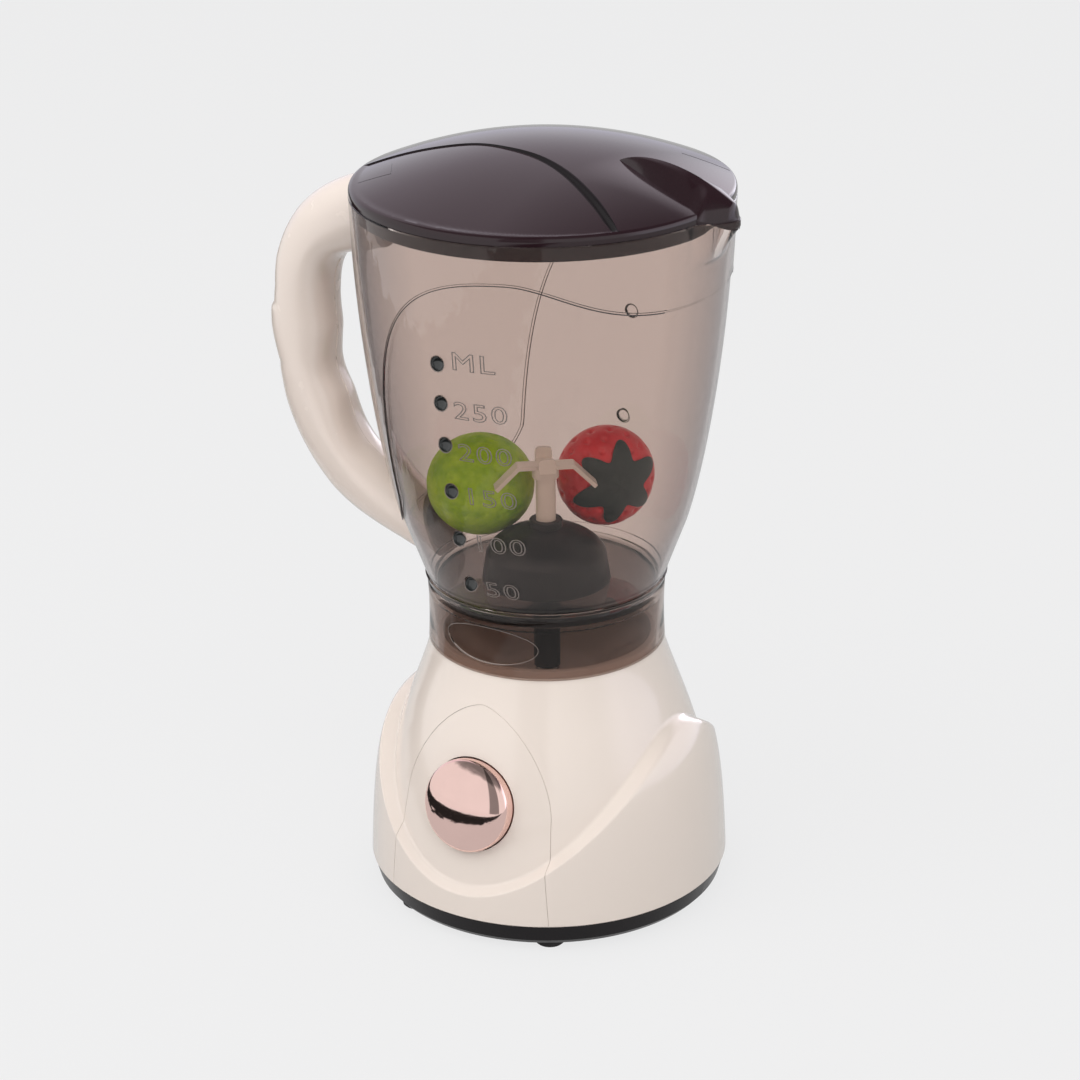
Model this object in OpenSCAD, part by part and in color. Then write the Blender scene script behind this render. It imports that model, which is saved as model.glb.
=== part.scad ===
// Toy blender: a smoky jug with a handle, a lid and a turning blade, on a battery-powered base.
// +Z is up. The front, with the button, faces -Y; the handle is at -X and the spout at +X.
// The origin is on the blade's axis, on the base plate's flat underside; the rubber feet reach
// below it. Sizes are in mm.

/* [Base housing] */
// Radius of the skirt at its bottom edge
skirt_r = 54.9; // [52:0.1:66]
// Radius of the inner cone at the level of the skirt's bottom edge
cone_r = 53; // [50:0.1:54]
// Height from the skirt's bottom edge to the shoulder that carries the jug
base_h = 71.2; // [60:0.1:86]
// Height of the lowest point of the wavy ridge above the skirt's bottom edge
ridge_low = 7.5; // [5:0.1:12]
// Height of the two crests of the wavy ridge above the skirt's bottom edge
ridge_high = 49.5; // [40:0.1:56]
// Wall of the housing and the front panel
housing_wall = 2.2; // [1.6:0.1:3]
// Height of the spigot that centres the jug's collar
spigot_h = 2.2; // [1.5:0.1:4]
// Depth of the dish in the housing's top, from the shoulder to its floor
dish_depth = 12.3; // [9:0.1:14]
// Radius of the flat floor of the dish
dish_floor_r = 14; // [10:0.5:18]

/* [Front panel and button] */
// Half width of the arched panel where its legs are widest
panel_half_w = 27.3; // [24:0.1:30]
// Height of the top of the arch above the skirt's bottom edge
panel_h = 62.5; // [52:0.1:64]
// Height above the skirt's bottom edge where the legs start to bend into the arch
panel_spring_h = 31.5; // [20:0.5:36]
// Height of the button's centre above the skirt's bottom edge
button_h = 34; // [28:0.5:38]
// Radius of the button
button_r = 14; // [10:0.1:15]
// How far the button's dome stands out of the panel
button_proud = 5.5; // [4:0.1:7]
// How far the button travels when it is pressed
button_travel = 2.5; // [1:0.1:3]
// Width and height of the square switch behind the button
switch_w = 8; // [6:0.5:9]

/* [Base plate and batteries] */
// Height of the rubber feet below the base plate
foot_h = 2.4; // [1.5:0.1:4]
// Radius of a rubber foot
foot_r = 4.5; // [3:0.1:5]
// Height of the dark ring between the floor of the base plate and the skirt
ring_h = 6.7; // [5:0.1:9]
// Thickness of the base plate's floor
plate_t = 3.2; // [2.6:0.1:4]
// Diameter of an AA cell
cell_d = 14.2; // [13.5:0.1:14.5]
// Length of an AA cell's can, without its button end
cell_can_l = 49.2; // [44:0.1:50.5]
// Length of the spring contact that presses on a cell
contact_spring_l = 3; // [2:0.1:5]
// Wall and roof of the battery bay
bay_wall = 1.6; // [1.2:0.1:2.5]

/* [Motor] */
// Radius of the motor's can across its round sides
motor_r = 10; // [8:0.1:11]
// Width of the motor's can across its flats
motor_flat_w = 15.2; // [12:0.1:16]
// Length of the motor's can
motor_l = 23.2; // [16:0.1:25]
// Radius of the motor's shaft
shaft_r = 1; // [0.75:0.05:1.5]

/* [Jug] */
// Outer radius of the collar that sits on the base
collar_r = 35.6; // [33:0.1:40]
// Height of the collar
collar_h = 19.3; // [15:0.1:24]
// Outer radius of the jug at its rim
rim_r = 55.4; // [48:0.1:66]
// Height of the jug above its collar
jug_h = 118.7; // [100:0.1:143]
// Wall of the jug
jug_wall = 1.9; // [1.5:0.1:2.6]
// How far the upper band stands proud of the window below it
band_proud = 0.5; // [0.3:0.1:0.8]
// Depth of the oval recess in the front of the collar
badge_depth = 0.5; // [0.3:0.1:0.8]
// Thickness of the jug's floor
floor_t = 2; // [1.5:0.1:3]
// How far the tip of the spout reaches past the rim
spout_reach = 7.3; // [5:0.1:10]
// Half width of the spout where it leaves the rim
spout_half_w = 12; // [9:0.1:15]
// Depth of the spout below the rim
spout_drop = 14; // [10:0.5:20]
// Diameter of a graduation dot
dot_d = 4.4; // [3:0.1:5]
// Height of each graduation dot above the collar, at the front
dot_heights = [10.7, 26.8, 42.5, 57.3, 70.2, 82.2];
// Height of each graduation dot above the collar, at the back
back_dot_heights = [35.4, 67.8];

/* [Handle] */
// How far the middle of the handle stands off the blade's axis
handle_reach = 83.5; // [76:0.5:92]
// Half thickness of the handle at its top, between palm and fingers
handle_top_t = 11.5; // [8:0.1:13]
// Half thickness of the handle at its bottom
handle_low_t = 9; // [7:0.1:11]
// Half width of the handle, from side to side
handle_half_w = 10; // [7:0.1:12]
// Wall of the handle's two half shells
handle_wall = 2; // [1.5:0.1:3]

/* [Lid] */
// Height of the lid's upright edge above the jug's rim
lid_edge_h = 2.6; // [2:0.1:5]
// Height of the lid's dome above that edge
lid_dome_h = 11.9; // [8:0.1:18]
// Wall of the lid
lid_wall = 1.8; // [1.4:0.1:2.4]
// Depth of the step between the two fields on the lid's top
lid_step = 0.8; // [0.4:0.1:1]
// How far the lid's skirt reaches into the jug
lid_skirt_h = 4.5; // [3:0.1:8]

/* [Blade and drive] */
// Radius of the hub at its shoulder
hub_r = 18; // [15:0.1:21]
// Height of the hub's shoulder above the jug's floor
hub_h = 8.3; // [6:0.1:12]
// Height of the hub's sleeve above its shoulder
sleeve_rise = 10.3; // [8:0.1:14]
// Radius of the blade's spindle
spindle_r = 2.95; // [2.4:0.05:3.4]
// Height of the blade's arms above the top of the sleeve
blade_rise = 17.5; // [14:0.1:20]
// Reach of the two long arms from the axis
blade_reach = 15.3; // [12:0.1:16]
// Width of an arm
arm_w = 5; // [4:0.1:6]
// Thickness of an arm
arm_t = 1.2; // [1:0.1:2]
// Turn of the long arms from +X, seen from above
blade_turn = 36; // [34:1:38]
// Radius of the drive coupling under the jug's floor
coupling_r = 4; // [3.5:0.05:5]
// Corner radius of the hexagonal drive dog
dog_r = 2; // [1.6:0.1:2.4]

/* [Pretend fruit] */
// Half length of the lime
lime_half_l = 16; // [13:0.1:16.2]
// Half thickness of the lime
lime_half_t = 15.2; // [12:0.1:15.3]
// Radius of the strawberry at its widest
berry_r = 15.3; // [12:0.1:15.4]
// Length of the strawberry from its widest part to its tip
berry_tip_l = 15.5; // [12:0.1:16]
// Length of the strawberry from its widest part to its crown
berry_crown_l = 11; // [9:0.1:12]
// Thickness of the strawberry's leafy crown
crown_t = 1; // [0.6:0.1:1.2]

/* [Fits and fasteners] */
// Gap around the front panel and between the handle's halves
seam_gap = 0.12; // [0.05:0.01:0.25]
// Radial clearance of a shaft that turns in its bearing
running_gap = 0.06; // [0.03:0.01:0.1]
// Radial clearance of a piece that slides in its guide
slide_gap = 0.3; // [0.2:0.05:0.5]
// Gap between pieces that sit on each other along a curve
seat_gap = 0.3; // [0.2:0.05:0.5]
// Radius of a housing screw's thread
screw_r = 1.25; // [1:0.05:1.5]
// Length of a housing screw below its head
screw_l = 13; // [8:0.5:16]
// Radius of a small screw's thread, for the motor and the switch
small_screw_r = 1.1; // [0.8:0.05:1.2]
// Radius of an internal wire
wire_r = 0.8; // [0.6:0.1:0.9]

/* [Hidden] */
$fn = 96;

cream = [0.93, 0.88, 0.84];
dark = [0.16, 0.13, 0.14];
smoke = [0.62, 0.54, 0.5, 0.45];
steel = [0.75, 0.76, 0.78];
rose_gold = [0.9, 0.7, 0.62];

// Heights above the underside of the base plate
z_plate = 0;
z_skirt = z_plate + ring_h;
z_neck = z_skirt + base_h;
z_body = z_neck + collar_h;
z_rim = z_body + jug_h;
z_dome = z_rim + lid_edge_h;
z_top = z_dome + lid_dome_h;
z_dish = z_neck - dish_depth;
z_under_dish = z_dish - 2;
z_floor = z_body - 0.8;
z_shoulder = z_floor + hub_h;
z_sleeve = z_shoulder + sleeve_rise;
z_blade = z_sleeve + blade_rise;

// ---- curves ----
function mix(a, b, t) = a + (b - a) * t;
function quad(p, t) = mix(mix(p[0], p[1], t), mix(p[1], p[2], t), t);
function cubic(p, t) = mix(quad([p[0], p[1], p[2]], t), quad([p[1], p[2], p[3]], t), t);
function cubic_pts(p, n) = [for (i = [0:n]) cubic(p, i / n)];
function quad_pts(p, n) = [for (i = [0:n]) quad(p, i / n)];
// The radius of a rising outline at height z, found by halving
function r_at(p, z, lo = 0, hi = 1, n = 24) =
    let (m = (lo + hi) / 2)
    n == 0 ? cubic(p, m)[0]
    : cubic(p, m)[1] < z ? r_at(p, z, m, hi, n - 1) : r_at(p, z, lo, m, n - 1);
function shifted(pts, dr) = [for (q = pts) [q[0] + dr, q[1]]];
function unit(v) = v / norm(v);

// ---- outlines, as [radius, height] ----
neck_r = collar_r - 0.5;
cone = [[cone_r, z_skirt], [cone_r - 4, z_skirt + 0.58 * base_h],
    [neck_r + 4.9, z_neck - 18], [neck_r, z_neck]];
skirt_top = ridge_high + 1.4;
skirt = [[skirt_r, z_skirt], [skirt_r - 1.2, z_skirt + 0.52 * skirt_top],
    [skirt_r - 2.7, z_skirt + 0.96 * skirt_top],
    [r_at(cone, z_skirt + skirt_top) - 1, z_skirt + skirt_top]];
waist_r = 6.8;
waist_h = 19;
jug_low = [[collar_r - 0.1, z_body], [collar_r + 2.1, z_body + 6.5],
    [collar_r + waist_r, z_body + waist_h]];
jug_high = [[collar_r + waist_r, z_body + waist_h], [collar_r + waist_r + 4.1, z_body + waist_h + 11.5],
    [rim_r - 0.8, z_rim - 0.4 * jug_h], [rim_r, z_rim]];
jug_line = concat(quad_pts(jug_low, 6), [for (i = [1:16]) cubic(jug_high, i / 16)]);

// The height of the wavy ridge in the direction a degrees round from the front
function ridge_z(a) = z_skirt + (ridge_high + ridge_low) / 2
    - (ridge_high - ridge_low) / 2 * cos(2 * a);

// Front view of the arch: legs, then half of a pointed superellipse on each side
arch_power = 1.6;
arch_legs_w = panel_half_w - 2.8;
function arch_side(s, grow, n = 12) = [for (i = [0:n])
    let (a = 90 * i / n, c = pow(cos(a), 2 / arch_power), d = pow(sin(a), 2 / arch_power))
    [s * (arch_legs_w + grow) * c,
     z_skirt + panel_spring_h + (panel_h - panel_spring_h + grow) * d]];
function arch_pts(grow, drop) = concat(
    [[-panel_half_w - grow, z_skirt - drop]], arch_side(-1, grow),
    [for (i = [1:12]) arch_side(1, grow)[12 - i]], [[panel_half_w + grow, z_skirt - drop]]);

// ---- shared shapes ----
module front_view() { rotate([90, 0, 0]) children(); }
module revolve(pts) { rotate_extrude($fn = 128) polygon(pts); }
// A closed solid through rings of points, one after the other
module loft(rings) {
    m = len(rings[0]);
    last = (len(rings) - 1) * m;
    walls = [for (i = [0:len(rings) - 2], k = [0:m - 1]) let (a = i * m + k, b = i * m + (k + 1) % m)
        each [[a, a + m, b], [b, a + m, b + m]]];
    polyhedron([for (ring = rings) each ring],
        concat(walls, [[for (k = [0:m - 1]) k]], [[for (k = [m - 1:-1:0]) last + k]]));
}
module at_angle(a, r, z) { translate([r * sin(a), -r * cos(a), z]) children(); }
module cross_recess(r) {
    for (a = [0, 90]) rotate([0, 0, a]) translate([-r, -r / 5, -0.01]) cube([2 * r, r / 2.5, 0.81]);
}
// A screw that points up, its head's outer face at z = 0 and its cross recess below
module screw(head_r, head_h, thread_r, length) {
    difference() {
        union() {
            cylinder(r = head_r, h = head_h, $fn = 32);
            cylinder(r = thread_r, h = head_h + length, $fn = 32);
        }
        cross_recess(head_r * 0.6);
    }
}

// ---- base housing and its front panel ----
lip_h = 2.5;
cavity_top = z_neck - 3.3;
module housing_outside() {
    revolve(concat([[0, z_skirt]], cubic_pts(cone, 20),
        [[spigot_r, z_neck], [spigot_r, z_neck + spigot_h], [0, z_neck + spigot_h]]));
    intersection() {
        revolve(concat([[0, z_skirt]], cubic_pts(skirt, 20), [[0, z_skirt + skirt_top]]));
        front_view() linear_extrude(4 * skirt_r, center = true) polygon(ridge_pts);
    }
}
spigot_r = collar_r - 2 - seat_gap - 0.1;
// Beyond this angle the ridge runs out over the skirt's rounded crest
ridge_end = 66;
ridge_curve = [for (a = [-ridge_end:4:ridge_end]) [r_at(skirt, ridge_z(a)) * sin(a), ridge_z(a)]];
ridge_pts = concat([[-2 * skirt_r, 0], [-2 * skirt_r, z_neck], [ridge_curve[0][0], z_neck]], ridge_curve,
    [[-ridge_curve[0][0], z_neck], [2 * skirt_r, z_neck], [2 * skirt_r, 0]]);
inner_cone = [for (q = shifted(cubic_pts(cone, 20), -housing_wall))
    if (q[1] > z_skirt + lip_h + 3 && q[1] < cavity_top) q];
module housing_cavity() {
    revolve(concat([[0, z_skirt - 1], [lip_bore_r, z_skirt - 1], [lip_bore_r, z_skirt + lip_h + 1.4]],
        inner_cone, [[r_at(cone, cavity_top) - housing_wall, cavity_top], [spigot_r - 1.7, cavity_top],
        [dish_floor_r, z_under_dish], [0, z_under_dish]]));
}
lip_bore_r = skirt_r - housing_wall;
module dish() {
    revolve([[0, z_neck + spigot_h + 1], [spigot_r - 2, z_neck + spigot_h + 1],
        [spigot_r - 2.6, z_neck - 1], [dish_floor_r, z_dish], [0, z_dish]]);
}
module arch_block(grow, drop) {
    translate([0, -spigot_r + 1, 0]) front_view() linear_extrude(skirt_r) polygon(arch_pts(grow, drop));
}
// Posts that take the housing screws, out at the wall
post_r = 3.5;
post_ring = cone_r - 11;
post_angles = [60, 120, 240, 300];
z_plate_top = z_plate + plate_t;
// Bosses under the dish that take the motor bracket's screws
boss_r = 3;
boss_x = motor_r + 8;
z_bracket = z_under_dish - 4.7;
z_post_top = z_skirt + 0.55 * base_h;
module post_rib(a) {
    low = z_skirt + 6;
    rotate([0, 0, a - 90]) front_view() linear_extrude(1.6, center = true) polygon([[post_ring, low],
        [r_at(cone, low) - 1, low], [r_at(cone, z_post_top) - 1, z_post_top], [post_ring, z_post_top]]);
}
module base_housing() {
    color(cream) difference() {
        union() {
            difference() {
                housing_outside();
                housing_cavity();
                arch_block(0, 1);
            }
            for (a = post_angles) {
                at_angle(a, post_ring, z_plate_top)
                    cylinder(r = post_r, h = z_post_top - z_plate_top, $fn = 48);
                post_rib(a);
            }
            for (s = [-1, 1]) translate([s * boss_x, 0, z_bracket])
                cylinder(r = boss_r, h = z_under_dish - z_bracket + 6, $fn = 48);
        }
        dish();
        translate([0, 0, z_under_dish - 1]) cylinder(r = hub_dog_r + 0.6, h = 4, $fn = 48);
        for (a = post_angles) at_angle(a, post_ring, z_plate_top - 1)
            cylinder(r = screw_r + 0.05, h = screw_l + 1, $fn = 32);
        for (s = [-1, 1]) translate([s * boss_x, 0, z_bracket - 1])
            cylinder(r = small_screw_r + 0.05, h = 7, $fn = 32);
    }
}

// The button's axis leaves the panel square to the cone
z_button = z_skirt + button_h;
button_ring = r_at(cone, z_button);
button_tilt = atan((r_at(cone, z_button - 4) - r_at(cone, z_button + 4)) / 8);
module on_button_axis() {
    translate([0, -button_ring, z_button]) rotate([90 - button_tilt, 0, 0]) children();
}
// Depths behind the panel's face, along the button's axis
flange_r = button_r + 1.4;
// How far the round wall falls back at the distance x beside the button's axis
function wall_bend(x) = button_ring - sqrt(pow(button_ring, 2) - pow(x, 2));
d_flange = housing_wall + wall_bend(flange_r) + 0.6;
d_stem = d_flange + 3.2;
d_switch = d_stem + 3;
d_bracket = d_switch + 5;
bracket_t = 1.5;
bracket_x = flange_r + 3.6;
bracket_boss_r = 3;
small_head_r = 2.2;
small_head_h = 1.3;
boss_start = wall_bend(bracket_x + bracket_boss_r) + 0.4;
module front_panel() {
    color(cream) difference() {
        union() {
            intersection() {
                difference() {
                    housing_outside();
                    housing_cavity();
                }
                arch_block(-seam_gap, 0.5);
            }
            on_button_axis() for (s = [-1, 1]) translate([s * bracket_x, 0, -d_bracket])
                cylinder(r = bracket_boss_r, h = d_bracket - boss_start, $fn = 48);
        }
        on_button_axis() {
            translate([0, 0, -d_flange + 0.3]) cylinder(r = button_r + slide_gap, h = 30);
            for (s = [-1, 1]) translate([s * bracket_x, 0, -d_bracket - 1])
                cylinder(r = small_screw_r + 0.05, h = 8, $fn = 32);
        }
    }
}

// ---- button, spring and switch ----
dome_h = button_proud - 1.2;
cap_wall = 1.5;
stem_r = 3;
module power_button() {
    color(rose_gold) on_button_axis() revolve(concat(
        [for (i = [0:12]) [button_r * sin(90 * i / 12), 1.2 + dome_h * cos(90 * i / 12)]],
        [[button_r, -d_flange], [flange_r, -d_flange], [flange_r, -d_flange - cap_wall],
         [button_r - cap_wall, -d_flange - cap_wall], [button_r - cap_wall, 0.5],
         [button_r - 4, 1.2 + dome_h - 2.5], [stem_r, 1.2 + dome_h - 2.5], [stem_r, -d_stem],
         [0, -d_stem]]));
}
spring_wire = 0.8;
module button_spring() {
    color(steel) on_button_axis() translate([0, 0, -d_bracket]) difference() {
        cylinder(r = switch_w / 2 * sqrt(2) + 0.6 + spring_wire, h = d_bracket + dome_h - 1.3 - 0.05);
        translate([0, 0, -1]) cylinder(r = switch_w / 2 * sqrt(2) + 0.6, h = d_bracket + 20);
    }
}
plunger_r = 1.7;
module switch_plunger() {
    color("white") on_button_axis() translate([0, 0, -d_stem - 0.1 - 4.4]) cylinder(r = plunger_r, h = 4.4);
}
terminal_l = 3.5;
module power_switch() {
    color([0.15, 0.15, 0.16]) on_button_axis() difference() {
        union() {
            translate([-switch_w / 2, -switch_w / 2, -d_bracket])
                cube([switch_w, switch_w, d_bracket - d_switch]);
            for (s = [-1, 1]) translate([s * 2 - 0.75, -0.2, -d_bracket - terminal_l])
                cube([1.5, 0.4, terminal_l + 0.5]);
        }
        translate([0, 0, -d_stem - 4.5 - button_travel - 0.2])
            cylinder(r = plunger_r + 0.1, h = 10);
    }
}
module switch_bracket() {
    color(dark) on_button_axis() difference() {
        translate([-bracket_x - 4, -7, -d_bracket - bracket_t]) cube([2 * bracket_x + 8, 14, bracket_t]);
        translate([-3.5, -1, -d_bracket - bracket_t - 1]) cube([7, 2, bracket_t + 2]);
        for (s = [-1, 1]) translate([s * bracket_x, 0, -d_bracket - bracket_t - 1])
            cylinder(r = small_screw_r + 0.2, h = 4, $fn = 32);
    }
}
module switch_screws() {
    color(steel) on_button_axis() for (s = [-1, 1])
        translate([s * bracket_x, 0, -d_bracket - bracket_t - small_head_h])
            screw(small_head_r, small_head_h, small_screw_r, bracket_t + 6);
}

// ---- base plate, feet and battery bay ----
head_r = 2.6;
head_h = 1.8;
door_t = 1.5;
door_ledge = 2.2;
door_rebate = door_t + 0.1;
cell_gap = 0.4;
contact_t = 0.4;
cell_nub_l = 1.3;
bay_l = cell_can_l + cell_nub_l + contact_spring_l + 2 * contact_t + 0.3;
bay_w = 2 * cell_d + 3 * cell_gap;
z_cell = z_plate + door_t + cell_gap + cell_d / 2;
z_bay_roof = z_cell + cell_d / 2 + cell_gap;
cell_y = (cell_d + cell_gap) / 2;
door_ear_x = bay_l / 2 + door_ledge + 3.6;
door_ear_r = 4.5;
door_screw_head_h = 1.3;
door_pad_r = 4;
door_pad_t = 1.3;
foot_ring = skirt_r - 8.4;
foot_angles = [30, 150, 210, 330];
foot_sunk = 0.6;
plug_r = 2.2;
module door_shape(grow, t) {
    l = bay_l + 2 * door_ledge + 2 * grow;
    w = bay_w + 2 * door_ledge + 2 * grow;
    translate([-l / 2, -w / 2, 0]) cube([l, w, t]);
    translate([0, -door_ear_r - grow, 0]) cube([door_ear_x, 2 * (door_ear_r + grow), t]);
    translate([door_ear_x, 0, 0]) cylinder(r = door_ear_r + grow, h = t, $fn = 48);
}
tab_w = 3;
module base_plate() {
    lip_r = lip_bore_r - 0.15;
    color(dark) difference() {
        union() {
            revolve([[0, z_plate], [skirt_r - 3, z_plate], [skirt_r - 1.7, z_plate + 1.5],
                [skirt_r - 0.3, z_skirt], [lip_r, z_skirt], [lip_r, z_skirt + lip_h],
                [lip_r - 1.4, z_skirt + lip_h], [lip_r - 1.4, z_plate_top], [0, z_plate_top]]);
            translate([-bay_l / 2 - bay_wall, -bay_w / 2 - bay_wall, z_plate + door_rebate])
                cube([bay_l + 2 * bay_wall, bay_w + 2 * bay_wall,
                    z_bay_roof + bay_wall - z_plate - door_rebate]);
            translate([door_ear_x, 0, z_plate + door_rebate])
                cylinder(r = door_pad_r + 1.5, h = 11, $fn = 48);
        }
        translate([-bay_l / 2, -bay_w / 2, z_plate - 1]) cube([bay_l, bay_w, z_bay_roof - z_plate + 1]);
        translate([0, 0, z_plate - 1]) door_shape(0.15, door_rebate + 1);
        translate([door_ear_x, 0, z_plate]) {
            cylinder(r = door_pad_r + 0.15, h = door_t + door_pad_t + 0.1, $fn = 48);
            cylinder(r = screw_r + 0.05, h = 11.5, $fn = 32);
        }
        for (s = [-1, 1])
            translate([bay_l / 2 - contact_t - 0.2, s * cell_y - tab_w / 2 - 0.3, z_bay_roof - 1])
            cube([contact_t + 0.4, tab_w + 0.6, bay_wall + 2]);
        for (a = post_angles) at_angle(a, post_ring, z_plate - 1) {
            cylinder(r = screw_r + 0.25, h = 10, $fn = 32);
            cylinder(r = head_r + 0.3, h = head_h + 1.2, $fn = 48);
        }
        for (a = foot_angles) at_angle(a, foot_ring, z_plate - 1) {
            cylinder(r = foot_r + 0.1, h = 1 + foot_sunk, $fn = 48);
            cylinder(r = plug_r + 0.1, h = 3.1, $fn = 48);
        }
    }
}
module base_screws() {
    color(steel) for (a = post_angles) at_angle(a, post_ring, z_plate + 0.2)
        screw(head_r, head_h, screw_r, screw_l);
}
module rubber_feet() {
    color([0.12, 0.12, 0.12]) for (a = foot_angles) at_angle(a, foot_ring, z_plate)
        rotate_extrude($fn = 48) polygon([[0, -foot_h], [foot_r - 0.5, -foot_h], [foot_r, 0.5 - foot_h],
            [foot_r, foot_sunk], [plug_r, foot_sunk], [plug_r, 2], [0, 2]]);
}
module battery_door() {
    color(dark) difference() {
        union() {
            translate([0, 0, z_plate]) door_shape(0, door_t);
            translate([door_ear_x, 0, z_plate]) cylinder(r = door_pad_r, h = door_t + door_pad_t, $fn = 48);
        }
        translate([door_ear_x, 0, z_plate - 1]) {
            cylinder(r = screw_r + 0.2, h = 6, $fn = 32);
            cylinder(r = head_r + 0.2, h = 1 + door_t, $fn = 48);
        }
        for (i = [-2:2]) translate([-bay_l / 2 + 4, i * 2.4 - 0.5, z_plate - 0.01]) cube([9, 1, 0.5]);
    }
}
module battery_door_screw() {
    color(steel) translate([door_ear_x, 0, z_plate + door_t - door_screw_head_h])
        screw(head_r, door_screw_head_h, screw_r, 9.5);
}
// One cell points to +X and its neighbour to -X
module each_cell() {
    for (s = [-1, 1]) translate([0, s * cell_y, z_cell]) rotate([0, 0, s > 0 ? 0 : 180]) children();
}
cell_start = -bay_l / 2 + contact_t + contact_spring_l + 0.05;
module battery_cells() {
    color([0.35, 0.38, 0.42]) each_cell() translate([cell_start, 0, 0]) rotate([0, 90, 0]) {
        cylinder(r = cell_d / 2, h = cell_can_l);
        cylinder(r = 2.75, h = cell_can_l + cell_nub_l, $fn = 48);
    }
}
module contact_springs() {
    color(steel) each_cell() translate([-bay_l / 2 + contact_t, 0, 0]) rotate([0, 90, 0]) difference() {
        cylinder(r1 = 4.4, r2 = 2.6, h = contact_spring_l, $fn = 48);
        translate([0, 0, -0.01]) cylinder(r1 = 3.6, r2 = 1.8, h = contact_spring_l + 0.02, $fn = 48);
    }
}
z_tab = z_bay_roof + bay_wall + 1.6;
module contact_plates() {
    color(steel) {
        translate([-bay_l / 2, -bay_w / 2 + 1, z_cell - 6]) cube([contact_t, bay_w - 2, 12]);
        for (s = [-1, 1]) translate([bay_l / 2 - contact_t, s * cell_y, 0]) {
            translate([0, -5, z_cell - 6]) cube([contact_t, 10, 12]);
            translate([0, -tab_w / 2, z_cell]) cube([contact_t, tab_w, z_tab - z_cell]);
        }
    }
}

// ---- motor ----
bracket_plate_t = 2;
z_can_top = z_bracket - bracket_plate_t - 0.1;
z_can_low = z_can_top - motor_l;
endcap_h = 2.5;
module motor_outline(grow, h) {
    intersection() {
        cylinder(r = motor_r + grow, h = h);
        translate([-motor_r - 2, -motor_flat_w / 2 - grow, 0])
            cube([2 * motor_r + 4, motor_flat_w + 2 * grow, h]);
    }
}
nose_r = 3;
nose_h = 1.4;
module motor_can() {
    color(steel) difference() {
        union() {
            translate([0, 0, z_can_low]) motor_outline(0, motor_l);
            translate([0, 0, z_can_top - 1]) cylinder(r = nose_r, h = nose_h + 1, $fn = 48);
        }
        translate([0, 0, z_can_low - 1]) cylinder(r = shaft_r + running_gap, h = motor_l + 5, $fn = 32);
    }
}
terminal_x = 7;
terminal_drop = 2.5;
module motor_endcap() {
    color("white") difference() {
        union() {
            translate([0, 0, z_can_low - endcap_h]) motor_outline(0, endcap_h);
            for (s = [-1, 1]) translate([s * terminal_x - 0.8, -0.2, z_can_low - endcap_h - terminal_drop])
                cube([1.6, 0.4, terminal_drop + 1]);
        }
        translate([0, 0, z_can_low - endcap_h + 1]) cylinder(r = shaft_r + running_gap, h = 5, $fn = 32);
    }
}
module motor_bracket() {
    clip = 0.15;
    side = 1.8;
    color(cream) difference() {
        union() {
            translate([-motor_r - side, -motor_flat_w / 2 - side, z_bracket - 17])
                cube([2 * (motor_r + side), motor_flat_w + 2 * side, 17]);
            translate([-boss_x - 5, -6, z_bracket - bracket_plate_t])
                cube([2 * boss_x + 10, 12, bracket_plate_t]);
        }
        translate([0, 0, z_bracket - 18]) motor_outline(clip, 18 - bracket_plate_t);
        translate([0, 0, z_bracket - 5]) cylinder(r = nose_r + 0.2, h = 6, $fn = 48);
        for (s = [-1, 1]) translate([s * boss_x, 0, z_bracket - 4])
            cylinder(r = small_screw_r + 0.2, h = 5, $fn = 32);
    }
}
module motor_screws() {
    color(steel) for (s = [-1, 1]) translate([s * boss_x, 0, z_bracket - bracket_plate_t - small_head_h])
        screw(small_head_r, small_head_h, small_screw_r, bracket_plate_t + 5);
}
hub_dog_r = dog_r + 0.9;
module motor_shaft() {
    z_low = z_can_low - 1.2;
    color(steel) translate([0, 0, z_low]) cylinder(r = shaft_r, h = z_dish - 1 - z_low, $fn = 32);
}
z_dog = z_can_top + nose_h + 0.6;
dog_h = 8;
module drive_dog() {
    color("white") difference() {
        union() {
            translate([0, 0, z_dog]) cylinder(r = hub_dog_r, h = z_dish + 0.6 - z_dog, $fn = 48);
            translate([0, 0, z_dish]) cylinder(r = dog_r, h = dog_h, $fn = 6);
        }
        translate([0, 0, z_dog - 1]) cylinder(r = shaft_r + 0.02, h = z_dish - 0.9 - z_dog + 1, $fn = 32);
    }
}

// ---- wires, each on its own route inside the base ----
function smooth_route(p, n = 3) = concat([for (i = [0:len(p) - 2], k = [0:n - 1])
    let (t = k / n, a = p[max(i - 1, 0)], b = p[i], c = p[i + 1], d = p[min(i + 2, len(p) - 1)])
    b + (c - a) * t / 2 + (2 * a - 5 * b + 4 * c - d) * t * t / 2
    + (3 * b - a - 3 * c + d) * t * t * t / 2], [p[len(p) - 1]]);
function headings(p) = [for (i = [0:len(p) - 1]) unit(p[min(i + 1, len(p) - 1)] - p[max(i - 1, 0)])];
function square_to(v, t) = unit(v - (v * t) * t);
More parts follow.
